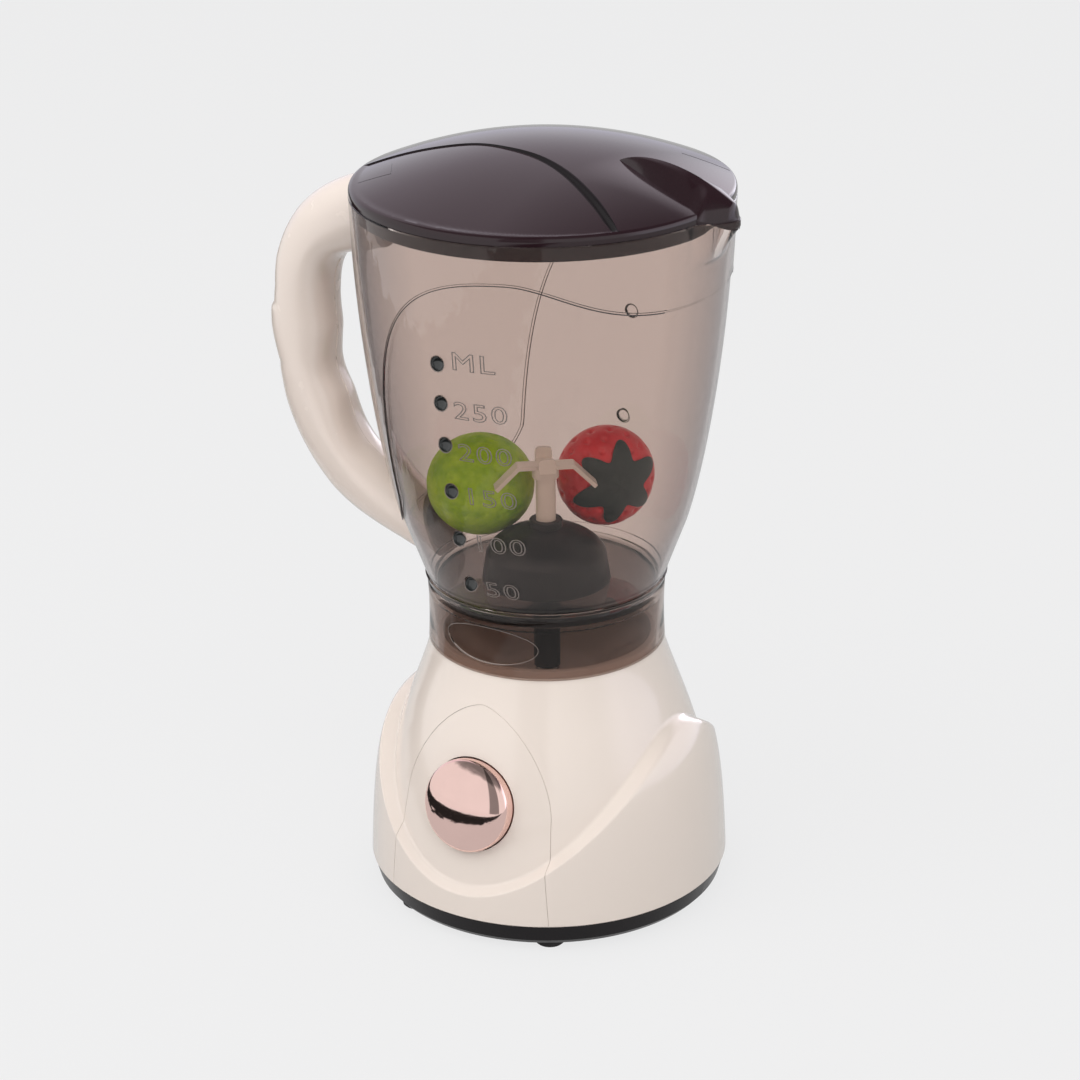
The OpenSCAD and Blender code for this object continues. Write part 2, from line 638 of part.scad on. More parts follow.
// Carries a side vector along the route without twist
function sides_along(t, v, i = 0) = i >= len(t) ? []
    : let (s = square_to(v, t[i])) concat([s], sides_along(t, s, i + 1));
module wire(route) {
    n = 8;
    p = smooth_route(route);
    t = headings(p);
    u = sides_along(t, [0.3, 0.9, 0.2]);
    rings = len(p);
    pts = [for (i = [0:rings - 1], k = [0:n - 1])
        p[i] + wire_r * (u[i] * cos(360 * k / n) + cross(t[i], u[i]) * sin(360 * k / n))];
    walls = [for (i = [0:rings - 2], k = [0:n - 1]) let (a = i * n + k, b = i * n + (k + 1) % n)
        each [[a, a + n, b], [b, a + n, b + n]]];
    caps = [for (k = [1:n - 2]) each [[0, k, k + 1],
        [(rings - 1) * n, (rings - 1) * n + k + 1, (rings - 1) * n + k]]];
    polyhedron(pts, concat(walls, caps));
}
z_lane = (z_tab + z_can_low - endcap_h - terminal_drop) / 2;
tab_x = bay_l / 2 - contact_t / 2;
// Where a wire meets a terminal: s is 1 or -1, and d is the distance back along the wire
end_gap = 0.25;
function switch_end(s, d = 0) = let (back = d_bracket + terminal_l + end_gap + d)
    [s * 2, back * cos(button_tilt) - button_ring, z_button - back * sin(button_tilt)];
function motor_end(s, d = 0) = [s * terminal_x, 0, z_can_low - endcap_h - terminal_drop - end_gap - d];
function tab_end(s, d = 0) = [tab_x, s * cell_y, z_tab + end_gap + d];
module wire_switch_feed() {
    color("red") wire([tab_end(1), tab_end(1, 2), [27, 4, z_lane + 2], [23, -8, z_lane + 4],
        [14, -18, z_lane + 6], [6, -22, z_lane + 8], switch_end(1, 2.5), switch_end(1)]);
}
module wire_motor_feed() {
    color("royalblue") wire([switch_end(-1), switch_end(-1, 2.5), [-4, -21, z_lane + 6],
        [-6, -15, z_lane + 1], [-7, -6, z_lane - 1.5], motor_end(-1, 2.5), motor_end(-1)]);
}
module wire_return() {
    color([0.1, 0.1, 0.1]) wire([tab_end(-1), tab_end(-1, 1.5), [24, -6, z_lane], [15, -3, z_lane - 0.5],
        [9, -1, z_lane - 1], motor_end(1, 2.5), motor_end(1)]);
}

// ---- jug ----
collar_waist = 0.3;
rib_h = 1.6;
floor_r = collar_r - 2 - 0.15;
module jug_outside(proud) {
    revolve(concat([[0, z_neck], [collar_r, z_neck], [collar_r - collar_waist, z_neck + collar_h / 2],
        [collar_r, z_body]], shifted(jug_line, proud - band_proud), [[0, z_rim]]));
}
module jug_inside() {
    z_rib = z_floor - floor_t - rib_h;
    revolve(concat([[0, z_neck - 1], [collar_r - 2, z_neck - 1], [collar_r - 2, z_rib],
        [collar_r - 3.4, z_rib], [collar_r - 3.4, z_rib + rib_h], [collar_r - 2, z_rib + rib_h],
        [collar_r - 2, z_body]],
        [for (q = shifted(jug_line, -jug_wall)) if (q[1] > z_body + 1 && q[0] > collar_r - 2) q],
        [[rim_r - jug_wall, z_rim + 1], [0, z_rim + 1]]));
}
// Front view of the window's edge: up from under the handle, over the front and round below the spout
window_left = rim_r - 26.4;
window_peak = 10.6;
module window_outline() {
    low = z_body + 18.4;
    edge = concat([[-1.4 * rim_r, z_neck], [-1.4 * rim_r, low]],
        cubic_pts([[-41, low], [-34, low], [-31, low + 4], [-window_left, low + 12]], 5),
        cubic_pts([[-window_left, low + 14], [-window_left - 3, low + 62],
            [-window_left + 9, z_rim - window_peak], [16.7, z_rim - window_peak]], 10),
        cubic_pts([[17.5, z_rim - window_peak], [30, z_rim - window_peak],
            [40, z_rim - 22], [54.5, z_rim - 22.5]], 8),
        [[1.4 * rim_r, z_rim - 22.5], [1.4 * rim_r, z_neck]]);
    front_view() linear_extrude(4 * rim_r, center = true) polygon(edge);
}
// How far the spout reaches past a wall of radius r, at the side distance y
function spout_x(y, r, reach, w) = sqrt(r * r - y * y) + reach * (1 + cos(180 * y / w)) / 2;
module spout_shape(inset) {
    w = spout_half_w - inset;
    levels = 6;
    n = 12;
    drop = spout_drop - inset;
    loft([for (i = [0:levels]) let (t = i / levels, z = z_rim - drop * (1 - t),
        reach = (spout_reach - inset) * min(1, pow(t / 0.86, 1.15)), r = rim_r - 0.9 * (1 - t) - 0.2)
        concat([[rim_r - 9, w, z]],
            [for (k = [0:n]) let (y = w - 2 * w * k / n) [spout_x(y, r, reach, w), y, z]],
            [[rim_r - 9, -w, z]])]);
}
spout_wall = 1.6;
badge_half_w = 15.3;
badge_half_h = 5.7;
dot_depth = 0.5;
module jug_body() {
    color(smoke) difference() {
        union() {
            jug_outside(0);
            difference() {
                jug_outside(band_proud);
                window_outline();
            }
            spout_shape(0);
        }
        jug_inside();
        translate([0, 0, 0.01]) spout_shape(spout_wall);
        translate([0, 0, z_rim]) cylinder(r = 2 * rim_r, h = 20);
        intersection() {
            translate([0, 0, z_neck]) difference() {
                cylinder(r = collar_r + 1, h = collar_h);
                translate([0, 0, -1]) cylinder(r = collar_r - collar_waist - badge_depth, h = collar_h + 2);
            }
            translate([0, -collar_r / 2, z_neck + collar_h / 2]) front_view() linear_extrude(collar_r)
                polygon([for (a = [0:10:350]) [badge_half_w * cos(a), badge_half_h * sin(a)]]);
        }
        for (h = dot_heights) dot(-4, h);
        for (h = back_dot_heights) dot(178, h);
    }
}
module dot(a, h) {
    rotate([0, 0, a]) translate([0, -jug_r(z_body + h) + dot_depth, z_body + h]) front_view()
        cylinder(r = dot_d / 2, h = 5, $fn = 32);
}
function jug_r(z) = r_at(jug_high, max(z, z_body + waist_h + 0.01)) - band_proud
    - (z < z_body + waist_h ? 0.38 * (z_body + waist_h - z) : 0);

bearing_r = coupling_r + running_gap;
module jug_floor() {
    color(smoke) revolve([[bearing_r, z_floor - floor_t - 3], [bearing_r + 1.8, z_floor - floor_t - 3],
        [bearing_r + 1.8, z_floor - floor_t], [floor_r, z_floor - floor_t], [floor_r, z_floor],
        [bearing_r, z_floor]]);
}
hub_wall = 1.5;
sleeve_r = spindle_r + 2;
dome_rise = sleeve_rise - 2.3;
module hub_cover() {
    foot_r2 = hub_r + 1.3;
    crown = [[hub_r, z_shoulder], [hub_r - 2, z_shoulder + 0.5 * dome_rise],
        [sleeve_r + 5, z_shoulder + 0.85 * dome_rise], [sleeve_r, z_shoulder + dome_rise]];
    color(dark) revolve(concat([[foot_r2, z_floor + 0.02]], cubic_pts(crown, 10),
        [[sleeve_r, z_sleeve], [spindle_r + running_gap, z_sleeve],
         [spindle_r + running_gap, z_shoulder + 2], [sleeve_r, z_shoulder + 2],
         [sleeve_r + 3, z_shoulder + 0.7 * dome_rise - hub_wall],
         [hub_r - hub_wall, z_shoulder - 1], [foot_r2 - hub_wall, z_floor + 0.02]]));
}

// ---- blade and the coupling that drives it ----
pin_r = 1.9;
z_pin_low = z_floor - 3;
z_coupling_top = z_floor + 4.5;
module jug_coupling() {
    color(dark) difference() {
        union() {
            translate([0, 0, z_dish + 1.2])
                cylinder(r = coupling_r, h = z_coupling_top - z_dish - 1.2, $fn = 48);
            translate([0, 0, z_floor + 0.1]) cylinder(r = coupling_r + 2, h = 1.4, $fn = 48);
        }
        translate([0, 0, z_dish]) cylinder(r = dog_r + 0.25, h = dog_h + 0.6, $fn = 6);
        translate([0, 0, z_pin_low - 0.5]) cylinder(r = pin_r + 0.02, h = 20, $fn = 32);
    }
}
block_r = 4;
arm_bend = 8.5;
tab_r = 5.9;
tab_rise = 3.3;
// Side view of the two long arms: level near the block, then down at 45 degrees
bend_in = arm_t * tan(22.5);
tip_t = arm_t / sqrt(2);
tip_drop = arm_bend - blade_reach;
arms_pts = [[-blade_reach, tip_drop], [-arm_bend, 0], [arm_bend, 0], [blade_reach, tip_drop],
    [blade_reach - tip_t, tip_drop - tip_t], [arm_bend - bend_in, -arm_t], [bend_in - arm_bend, -arm_t],
    [tip_t - blade_reach, tip_drop - tip_t]];
tabs_pts = [[-tab_r, -arm_t], [tab_r, -arm_t], [tab_r, tab_rise], [tab_r - arm_t, tab_rise],
    [tab_r - arm_t, 0],
    [arm_t - tab_r, 0], [arm_t - tab_r, tab_rise], [-tab_r, tab_rise]];
tab_corner = 1.4;
tab_outline = concat([[-arm_w / 2, -arm_t], [arm_w / 2, -arm_t]],
    [for (s = [1, -1], a = [0:15:90]) let (b = s > 0 ? a : 90 - a)
        [s * (arm_w / 2 - tab_corner + tab_corner * cos(b)), tab_rise - tab_corner + tab_corner * sin(b)]]);
module blade() {
    color(cream) {
        rotate_extrude() polygon([[0, z_pin_low], [pin_r, z_pin_low], [pin_r, z_coupling_top + 0.1],
            [spindle_r, z_coupling_top + 0.1], [spindle_r, z_blade - 4], [block_r, z_blade - 4],
            [block_r, z_blade - arm_t / 2], [0, z_blade - arm_t / 2]]);
        translate([0, 0, z_blade]) rotate([0, 0, blade_turn]) {
            front_view() linear_extrude(arm_w, center = true) polygon(arms_pts);
            rotate([0, 0, 90]) intersection() {
                front_view() linear_extrude(arm_w, center = true) polygon(tabs_pts);
                rotate([90, 0, 90]) linear_extrude(2 * tab_r + 1, center = true) polygon(tab_outline);
            }
        }
    }
}

// ---- handle: two half shells that meet on the jug's middle plane ----
handle_line = [[-rim_r + 5.4, z_rim - 12.8], [-handle_reach - 15.5, z_rim - 14.3],
    [-handle_reach - 11.5, z_body + 26.4], [-collar_r - 2.4, z_body + 6.9]];
handle_rings = 30;
// The line runs on a little into the jug, where the wall trims the handle's ends
handle_end = 1.07;
finger_depth = 0.7;
fingers = 4;
// Half thickness on the palm side, and on the finger side with its grip waves
function palm_t(f) = mix(handle_top_t, handle_low_t, f);
function finger_t(f) = palm_t(f) - (f > 0.2 && f < 0.85
    ? finger_depth * (1 - cos(360 * fingers * (f - 0.2) / 0.65)) / 2 : 0);
module handle_half(side) {
    n = 8;
    turns = [for (k = [0:n]) 180 * k / n];
    function point(f, a, inset) =
        let (c = cubic(handle_line, f),
             d = unit(cubic(handle_line, f + 0.01) - cubic(handle_line, f - 0.01)),
             out = [d[1], -d[0]], thick = (cos(a) > 0 ? finger_t(f) : palm_t(f)) - inset)
        [c[0] - out[0] * thick * cos(a), side * (seam_gap / 2 + (handle_half_w - inset) * sin(a)),
         c[1] - out[1] * thick * cos(a)];
    m = 2 * (n + 1);
    pts = [for (i = [0:handle_rings]) let (f = handle_end * i / handle_rings)
        each concat([for (a = turns) point(f, a, 0)], [for (k = [n:-1:0]) point(f, turns[k], handle_wall)])];
    function wind(tri) = side < 0 ? tri : [tri[0], tri[2], tri[1]];
    walls = [for (i = [0:handle_rings - 1], k = [0:m - 1]) let (a = i * m + k, b = i * m + (k + 1) % m)
        each [wind([a, b, a + m]), wind([b, b + m, a + m])]];
    last = handle_rings * m;
    caps = [for (k = [0:n - 1]) let (j = m - 1 - k) each [
        wind([k, j, k + 1]), wind([k + 1, j, j - 1]),
        wind([last + k, last + k + 1, last + j]), wind([last + k + 1, last + j - 1, last + j])]];
    color(cream) difference() {
        polyhedron(pts, concat(walls, caps));
        jug_outside(band_proud + 0.15);
    }
}
module handle_front() { handle_half(-1); }
module handle_rear() { handle_half(1); }

// ---- lid ----
function dome_z(r, drop) = z_top - drop - lid_dome_h * pow(r / rim_r, 2);
lid_skirt_r = rim_r - jug_wall - seat_gap;
lid_in_r = lid_skirt_r - 1.5;
step_line = [[-rim_r - 1, -12.5], [-15, -1], [12, -9], [rim_r - 8, -38]];
module dome_solid(drop) {
    revolve(concat([for (i = [0:14]) let (r = rim_r * i / 14) [r, dome_z(r, drop)]],
        [[rim_r, z_rim], [0, z_rim]]));
}
// The spout's cover: a ridge that starts on the dome and runs out over the spout's tip
cover_start = 24.5;
cover_ridge = [[cover_start, z_top - 2.6], [cover_start + 8.5, z_top + 2.1],
    [rim_r - 5.4, z_top - 1.4], [rim_r + spout_reach, z_dome + 0.5]];
cover_plan = [[cover_start, 0], [cover_start + 5, 9.5], [rim_r - 9, 10.6], [rim_r - 2, spout_half_w - 0.2]];
module cover_shape(inset) {
    n = 6;
    reach = spout_reach - 0.3;
    // Stations from the start of the ridge to its tip: where it lies along X and its half width
    on_dome = [for (i = [1:9]) cubic(cover_plan, i / 9)];
    past_rim = [for (i = [1:6]) let (y = (spout_half_w - 0.2) * (1 - i / 6.2))
        [spout_x(y, rim_r, reach, spout_half_w), y]];
    loft([for (q = concat([[cover_start, 0.4]], on_dome, past_rim))
        let (x = q[0] - inset, w = max(q[1] - inset, 0.2),
        low = z_rim + (inset > 0 ? -1 : 0), edge = min(z_dome, dome_z(norm(q), 0)) - 0.4 - inset,
        ridge = max(r_at([for (v = cover_ridge) [v[1], v[0]]], x), edge + 0.2) - inset * 0.6)
        concat([[x, w, low]], [for (k = [0:2 * n]) let (u = k / n - 1, y = -w * u)
            [x, y, edge + (ridge - edge) * pow(1 - pow(abs(u), 1.3), 1.3)]], [[x, -w, low]])]);
}
module lid() {
    color(dark) difference() {
        union() {
            difference() {
                dome_solid(0);
                intersection() {
                    difference() {
                        dome_solid(-1);
                        dome_solid(lid_step);
                    }
                    translate([0, 0, z_dome + 0.2]) linear_extrude(lid_dome_h + 5) polygon(concat(
                        cubic_pts(step_line, 16), [[rim_r, -rim_r - 5], [-rim_r - 1, -rim_r - 5]]));
                }
            }
            translate([0, 0, z_rim - lid_skirt_h]) cylinder(r = lid_skirt_r, h = lid_skirt_h + 1);
            cover_shape(0);
        }
        revolve(concat([for (i = [0:12]) let (r = lid_in_r * i / 12) [r, dome_z(r, lid_wall + 0.4)]],
            [[lid_in_r, z_rim - lid_skirt_h - 1], [0, z_rim - lid_skirt_h - 1]]));
        intersection() {
            cover_shape(1.6);
            translate([0, 0, z_rim - 2]) cylinder(r = lid_in_r, h = 30);
        }
    }
}

// ---- pretend fruit, lying loose on the hub's shoulder behind the blade ----
lime_at = [-hub_r - 6.6, 3.1, z_floor + 24];
berry_at = [6.7, 25, z_floor + 25];
module lime() {
    color([0.45, 0.58, 0.15]) translate(lime_at) rotate([0, 0, 30]) rotate([0, 90, 0]) revolve(
        [for (i = [0:24]) let (a = 180 * i / 24) [lime_half_t * sin(a), lime_half_l * cos(a)]]);
}
function berry_profile(grow) = concat(
    [for (i = [0:10]) let (s = i / 10)
        [(berry_r + grow) * sqrt(1 - pow(1 - s, 2.4)), (berry_crown_l + grow) * (1 - s)]],
    [for (i = [1:12]) let (s = i / 12)
        [(berry_r + grow) * pow(1 - pow(s, 1.9), 0.6), -(berry_tip_l + grow) * s]]);
// The crown faces the front right, a little upwards
module on_berry_axis() { translate(berry_at) rotate([0, 0, 51]) rotate([80, 0, 0]) children(); }
module strawberry() {
    color([0.75, 0.12, 0.15]) on_berry_axis() revolve(berry_profile(0));
}
leaves = 5;
// Reach of the crown between its leaves, and how much further a leaf goes
leaf_start = 6;
leaf_l = 7;
module strawberry_crown() {
    color([0.1, 0.18, 0.14]) on_berry_axis() intersection() {
        difference() {
            revolve(berry_profile(crown_t));
            revolve(berry_profile(0.1));
        }
        linear_extrude(2 * berry_crown_l) polygon([for (a = [0:6:354])
            (leaf_start + leaf_l * pow(abs(cos(leaves * a / 2)), 1.3)) * [cos(a), sin(a)]]);
    }
}

base_housing();
front_panel();
power_button();
button_spring();
power_switch();
switch_plunger();
switch_bracket();
switch_screws();
base_plate();
base_screws();
rubber_feet();
battery_door();
battery_door_screw();
battery_cells();
contact_springs();
contact_plates();
motor_can();
motor_endcap();
motor_bracket();
motor_screws();
motor_shaft();
drive_dog();
wire_switch_feed();
wire_motor_feed();
wire_return();
jug_body();
jug_floor();
hub_cover();
handle_front();
handle_rear();
jug_coupling();
blade();
lid();
lime();
strawberry();
strawberry_crown();
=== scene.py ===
"""Looks of the toy blender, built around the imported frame. Lengths in the helpers are in mm."""

import math
from contextlib import contextmanager

import bmesh
import bpy
import numpy as np
from mathutils import Matrix, Vector, noise


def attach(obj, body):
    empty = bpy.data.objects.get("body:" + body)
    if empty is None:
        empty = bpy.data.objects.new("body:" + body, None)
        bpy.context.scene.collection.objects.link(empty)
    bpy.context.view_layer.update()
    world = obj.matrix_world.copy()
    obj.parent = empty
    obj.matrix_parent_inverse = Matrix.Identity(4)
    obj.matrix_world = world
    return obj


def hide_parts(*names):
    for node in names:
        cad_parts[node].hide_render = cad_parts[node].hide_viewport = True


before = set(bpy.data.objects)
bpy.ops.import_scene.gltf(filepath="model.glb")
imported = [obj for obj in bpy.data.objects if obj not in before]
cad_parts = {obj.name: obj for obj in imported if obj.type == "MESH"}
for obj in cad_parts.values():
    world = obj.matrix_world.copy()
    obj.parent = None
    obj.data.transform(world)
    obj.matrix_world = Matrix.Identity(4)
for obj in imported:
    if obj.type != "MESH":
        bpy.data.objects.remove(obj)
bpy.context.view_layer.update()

# ---- heights and radii of the frame, in mm above the base plate's underside ----
FLOOR_Z = -2.4
Z_SKIRT, Z_NECK, Z_BODY, Z_RIM, Z_DOME, Z_TOP = 6.7, 77.9, 97.2, 215.9, 218.5, 230.4
Z_DISH, Z_FLOOR, Z_SHOULDER, Z_SLEEVE = 65.6, 96.4, 104.7, 115.0
COLLAR_R, RIM_R, NECK_R, SPIGOT_R = 35.6, 55.4, 35.1, 33.2
MM, SEAM = 0.001, 0.12


# ---- curves ----
def bezier(p, n=200, end=1.0):
    """Points along a curve of three or four control points, as far as the parameter end."""
    t = np.linspace(0.0, end, n)[:, None]
    p = np.asarray(p, float)
    if len(p) == 3:
        return (1 - t) ** 2 * p[0] + 2 * t * (1 - t) * p[1] + t * t * p[2]
    return ((1 - t) ** 3 * p[0] + 3 * t * (1 - t) ** 2 * p[1] + 3 * t * t * (1 - t) * p[2]
            + t ** 3 * p[3])


CONE = bezier([(53, Z_SKIRT), (49, 48.0), (40, 59.9), (NECK_R, Z_NECK)])
SKIRT_TOP = 50.9
SKIRT = bezier([(54.9, Z_SKIRT), (53.7, 33.2), (52.2, 55.6), (41.3, Z_SKIRT + SKIRT_TOP)])
JUG_LOW = bezier([(35.5, Z_BODY), (37.7, 103.7), (42.4, 116.2)])
JUG_HIGH = bezier([(42.4, 116.2), (46.5, 127.7), (54.6, 168.4), (RIM_R, Z_RIM)])
JUG = np.vstack([JUG_LOW[:-1], JUG_HIGH])


def cone_r(z):
    return np.interp(z, CONE[:, 1], CONE[:, 0])


def skirt_r(z):
    return np.interp(z, SKIRT[:, 1], SKIRT[:, 0])


def jug_r(z):
    return np.interp(z, JUG[:, 1], JUG[:, 0])


def smooth(x, a, b):
    t = np.clip((x - a) / (b - a), 0, 1)
    return t * t * (3 - 2 * t)


# ---- mesh helpers ----
def add_object(name, data):
    ob = bpy.data.objects.new(name, data)
    bpy.context.scene.collection.objects.link(ob)
    return ob


def new_object(name, verts, faces):
    me = bpy.data.meshes.new(name)
    me.from_pydata((np.asarray(verts, float) * MM).tolist(), [], faces)
    me.validate()
    return add_object(name, me)


@contextmanager
def edited(ob):
    """The object's mesh as a bmesh, which is written back at the end."""
    bm = bmesh.new()
    bm.from_mesh(ob.data)
    yield bm
    bm.to_mesh(ob.data)
    bm.free()


def grid_faces(rows, cols, wrap_rows=False, wrap_cols=False, base=0):
    i = np.arange(rows if wrap_rows else rows - 1)[:, None]
    j = np.arange(cols if wrap_cols else cols - 1)[None, :]
    a = i * cols + j
    b = i * cols + (j + 1) % cols
    c = ((i + 1) % rows) * cols + (j + 1) % cols
    d = ((i + 1) % rows) * cols + j
    return (np.stack([a, b, c, d], -1).reshape(-1, 4) + base).tolist()


def shade(ob, angle=35.0):
    """Smooth shading that keeps edges sharper than the angle."""
    limit = math.radians(angle)
    with edited(ob) as bm:
        for f in bm.faces:
            f.smooth = True
        for e in bm.edges:
            e.smooth = len(e.link_faces) == 2 and e.calc_face_angle(3.2) < limit
    return ob


def outward(ob):
    """Welds double points and turns every face outwards."""
    with edited(ob) as bm:
        bmesh.ops.remove_doubles(bm, verts=bm.verts, dist=1e-7)
        bmesh.ops.recalc_face_normals(bm, faces=bm.faces)
    return ob


def close_holes(ob, triangulate=False):
    """Fills the open ends of a mesh."""
    with edited(ob) as bm:
        bmesh.ops.holes_fill(bm, edges=[e for e in bm.edges if len(e.link_faces) == 1])
        if triangulate:
            bmesh.ops.triangulate(bm, faces=[f for f in bm.faces if len(f.verts) > 4])
    return ob


def corner_round(pts, radii):
    """Rounds the corners of a closed outline of (a, b) points."""
    out = []
    for i, (p, r) in enumerate(zip(pts, radii)):
        p = np.array(p, float)
        a = np.array(pts[i - 1], float) - p
        b = np.array(pts[(i + 1) % len(pts)], float) - p
        ra = min(r, 0.45 * np.linalg.norm(a))
        rb = min(r, 0.45 * np.linalg.norm(b))
        a, b = p + a / np.linalg.norm(a) * ra, p + b / np.linalg.norm(b) * rb
        out += [tuple(q) for q in bezier([a, p, b], 6)]
    return out


def lathe(name, outline, cols=192, angle=35.0):
    """A closed solid of revolution from a closed outline of (r, z) points."""
    pts = np.asarray(outline, float)
    th = np.linspace(0, 2 * np.pi, cols, endpoint=False)
    r = np.maximum(pts[:, 0], 0.0)[:, None]
    v = np.stack([r * np.cos(th), r * np.sin(th), np.repeat(pts[:, 1:2], cols, 1)], -1)
    ob = new_object(name, v.reshape(-1, 3), grid_faces(len(pts), cols, True, True))
    return shade(outward(ob), angle)


def boolean(a, b, how):
    """Cuts, joins or intersects a with b, and removes b."""
    mod = a.modifiers.new("cut", "BOOLEAN")
    mod.operation = how
    mod.object = b
    mod.solver = "MANIFOLD"
    dg = bpy.context.evaluated_depsgraph_get()
    me = bpy.data.meshes.new_from_object(a.evaluated_get(dg))
    a.modifiers.remove(mod)
    a.data = me
    bpy.data.objects.remove(b)


def copy_of(ob, name):
    return add_object(name, ob.data.copy())


# ---- camera, at the photograph's viewpoint ----
FRAME_PX, FOCAL_PX, SENSOR = 1080, 3019.9, 36
CAM_DIST, CAM_H, CAM_AZ = 0.83029, 0.4589, math.radians(30)
CAM_PAN, CAM_TILT, CAM_ROLL = 0.0022, -0.4001, -0.0109
cam_data = bpy.data.cameras.new("camera")
cam = add_object("camera", cam_data)
bpy.context.scene.camera = cam
cam.matrix_world = (
    Matrix.Translation((CAM_DIST * math.sin(CAM_AZ), -CAM_DIST * math.cos(CAM_AZ), CAM_H))
    @ Matrix.Rotation(CAM_AZ + CAM_PAN, 4, "Z")
    @ Matrix.Rotation(math.pi / 2 + CAM_TILT, 4, "X")
    @ Matrix.Rotation(CAM_ROLL, 4, "Z")
)
cam_data.sensor_width = SENSOR
cam_data.lens = FOCAL_PX / FRAME_PX * SENSOR
cam_data.clip_start, cam_data.clip_end = 0.01, 50


# ---- materials ----
class Tree:
    """Short ways to add nodes to a node tree. A socket's value is a number, a colour or a link."""

    def __init__(self, tree, space):
        self.t = tree
        self.co = self.node("ShaderNodeTexCoord").outputs[space]

    def node(self, kind, **props):
        n = self.t.nodes.new(kind)
        for k, v in props.items():
            setattr(n, k, v)
        return n

    def feed(self, socket, value):
        if isinstance(value, bpy.types.NodeSocket):
            self.t.links.new(value, socket)
        elif isinstance(value, tuple) and len(value) == 3 and socket.type == "RGBA":
            socket.default_value = (*value, 1)
        else:
            socket.default_value = value

    def noise(self, scale, detail=3.0, rough=0.5):
        n = self.node("ShaderNodeTexNoise")
        for name, value in (("Scale", scale), ("Detail", detail), ("Roughness", rough),
                            ("Vector", self.co)):
            self.feed(n.inputs[name], value)
        return n.outputs["Fac"]

    def remap(self, value, a, b, c, d):
        """The value, moved from the range a to b onto the range c to d."""
        n = self.node("ShaderNodeMapRange")
        for i, v in enumerate((value, a, b, c, d)):
            self.feed(n.inputs[i], v)
        return n.outputs[0]

    def mix(self, fac, a, b):
        n = self.node("ShaderNodeMix", data_type="RGBA")
        for i, v in ((0, fac), (6, a), (7, b)):
            self.feed(n.inputs[i], v)
        return n.outputs[2]

    def math(self, operation, *values, clamp=False):
        n = self.node("ShaderNodeMath", operation=operation, use_clamp=clamp)
        for i, v in enumerate(values):
            self.feed(n.inputs[i], v)
        return n.outputs[0]

    def vector(self, operation, a, b):
        n = self.node("ShaderNodeVectorMath", operation=operation)
        self.feed(n.inputs[0], a)
        self.feed(n.inputs["Scale" if operation == "SCALE" else 1], b)
        return n.outputs["Value" if operation == "DOT_PRODUCT" else "Vector"]

    def axes(self):
        """The X, Y and Z of the tree's own coordinates."""
        n = self.node("ShaderNodeSeparateXYZ")
        self.feed(n.inputs[0], self.co)
        return n.outputs

    def ramp(self, value, stops):
        n = self.node("ShaderNodeValToRGB")
        first, last = n.color_ramp.elements
        first.position, last.position = stops[0][0], stops[-1][0]
        first.color, last.color = (*stops[0][1], 1), (*stops[-1][1], 1)
        for at, color in stops[1:-1]:
            n.color_ramp.elements.new(at).color = (*color, 1)
        self.feed(n.inputs[0], value)
        return n.outputs["Color"]

    def shader(self, kind, color):
        n = self.node(kind)
        self.feed(n.inputs["Color"], color)
        return n.outputs[0]

    def blend(self, fac, a, b):
        n = self.node("ShaderNodeMixShader")
        for i, v in enumerate((fac, a, b)):
            self.feed(n.inputs[i], v)
        return n.outputs[0]

    def rays(self):
        return self.node("ShaderNodeLightPath").outputs


class Mat(Tree):
    """One material with its Principled shader."""

    def __init__(self, name):
        self.m = bpy.data.materials.new(name)
        self.m.use_nodes = True
        super().__init__(self.m.node_tree, "Object")
        self.b = self.t.nodes["Principled BSDF"]

    def set(self, **values):
        """Feeds the shader's sockets, with _ for a space in their names."""
        for k, v in values.items():
            self.feed(self.b.inputs[k.replace("_", " ")], v)

    def bump(self, height, distance, strength):
        n = self.node("ShaderNodeBump")
        for name, value in (("Strength", strength), ("Distance", distance), ("Height", height)):
            self.feed(n.inputs[name], value)
        return n.outputs["Normal"]

    def surface(self, shader):
        self.feed(self.t.nodes["Material Output"].inputs["Surface"], shader)


def srgb(*levels):
    parts = (c / 255 for c in levels)
    return tuple(c / 12.92 if c <= 0.04045 else ((c + 0.055) / 1.055) ** 2.4 for c in parts)


def grey(v):
    return (v, v, v)


def scaled(color, k):
    return tuple(c * k for c in color)


def plastic(name, color, rough=0.25, vary=0.03, bump=0.00002, scale=900.0, coat=0.0, **extra):
    """Moulded plastic: slight tone drift, uneven gloss and a faint surface texture."""
    k = Mat(name)
    lite = tuple(min(1.0, c) for c in scaled(color, 1 + vary))
    k.set(Base_Color=k.mix(k.noise(35, 4), scaled(color, 1 - vary), lite),
          Roughness=k.remap(k.noise(160, 4), 0.3, 0.7, rough * 0.85, rough * 1.15),
          Normal=k.bump(k.noise(scale, 2), bump, 0.5),
          Coat_Weight=coat, Coat_Roughness=0.06, **extra)
    return k.m


def metal(name, color, rough=0.3):
    k = Mat(name)
    k.set(Base_Color=k.mix(k.noise(120, 3), scaled(color, 0.9), color),
          Roughness=k.remap(k.noise(500, 4), 0.3, 0.7, rough * 0.8, rough * 1.3), Metallic=1.0)
    return k.m


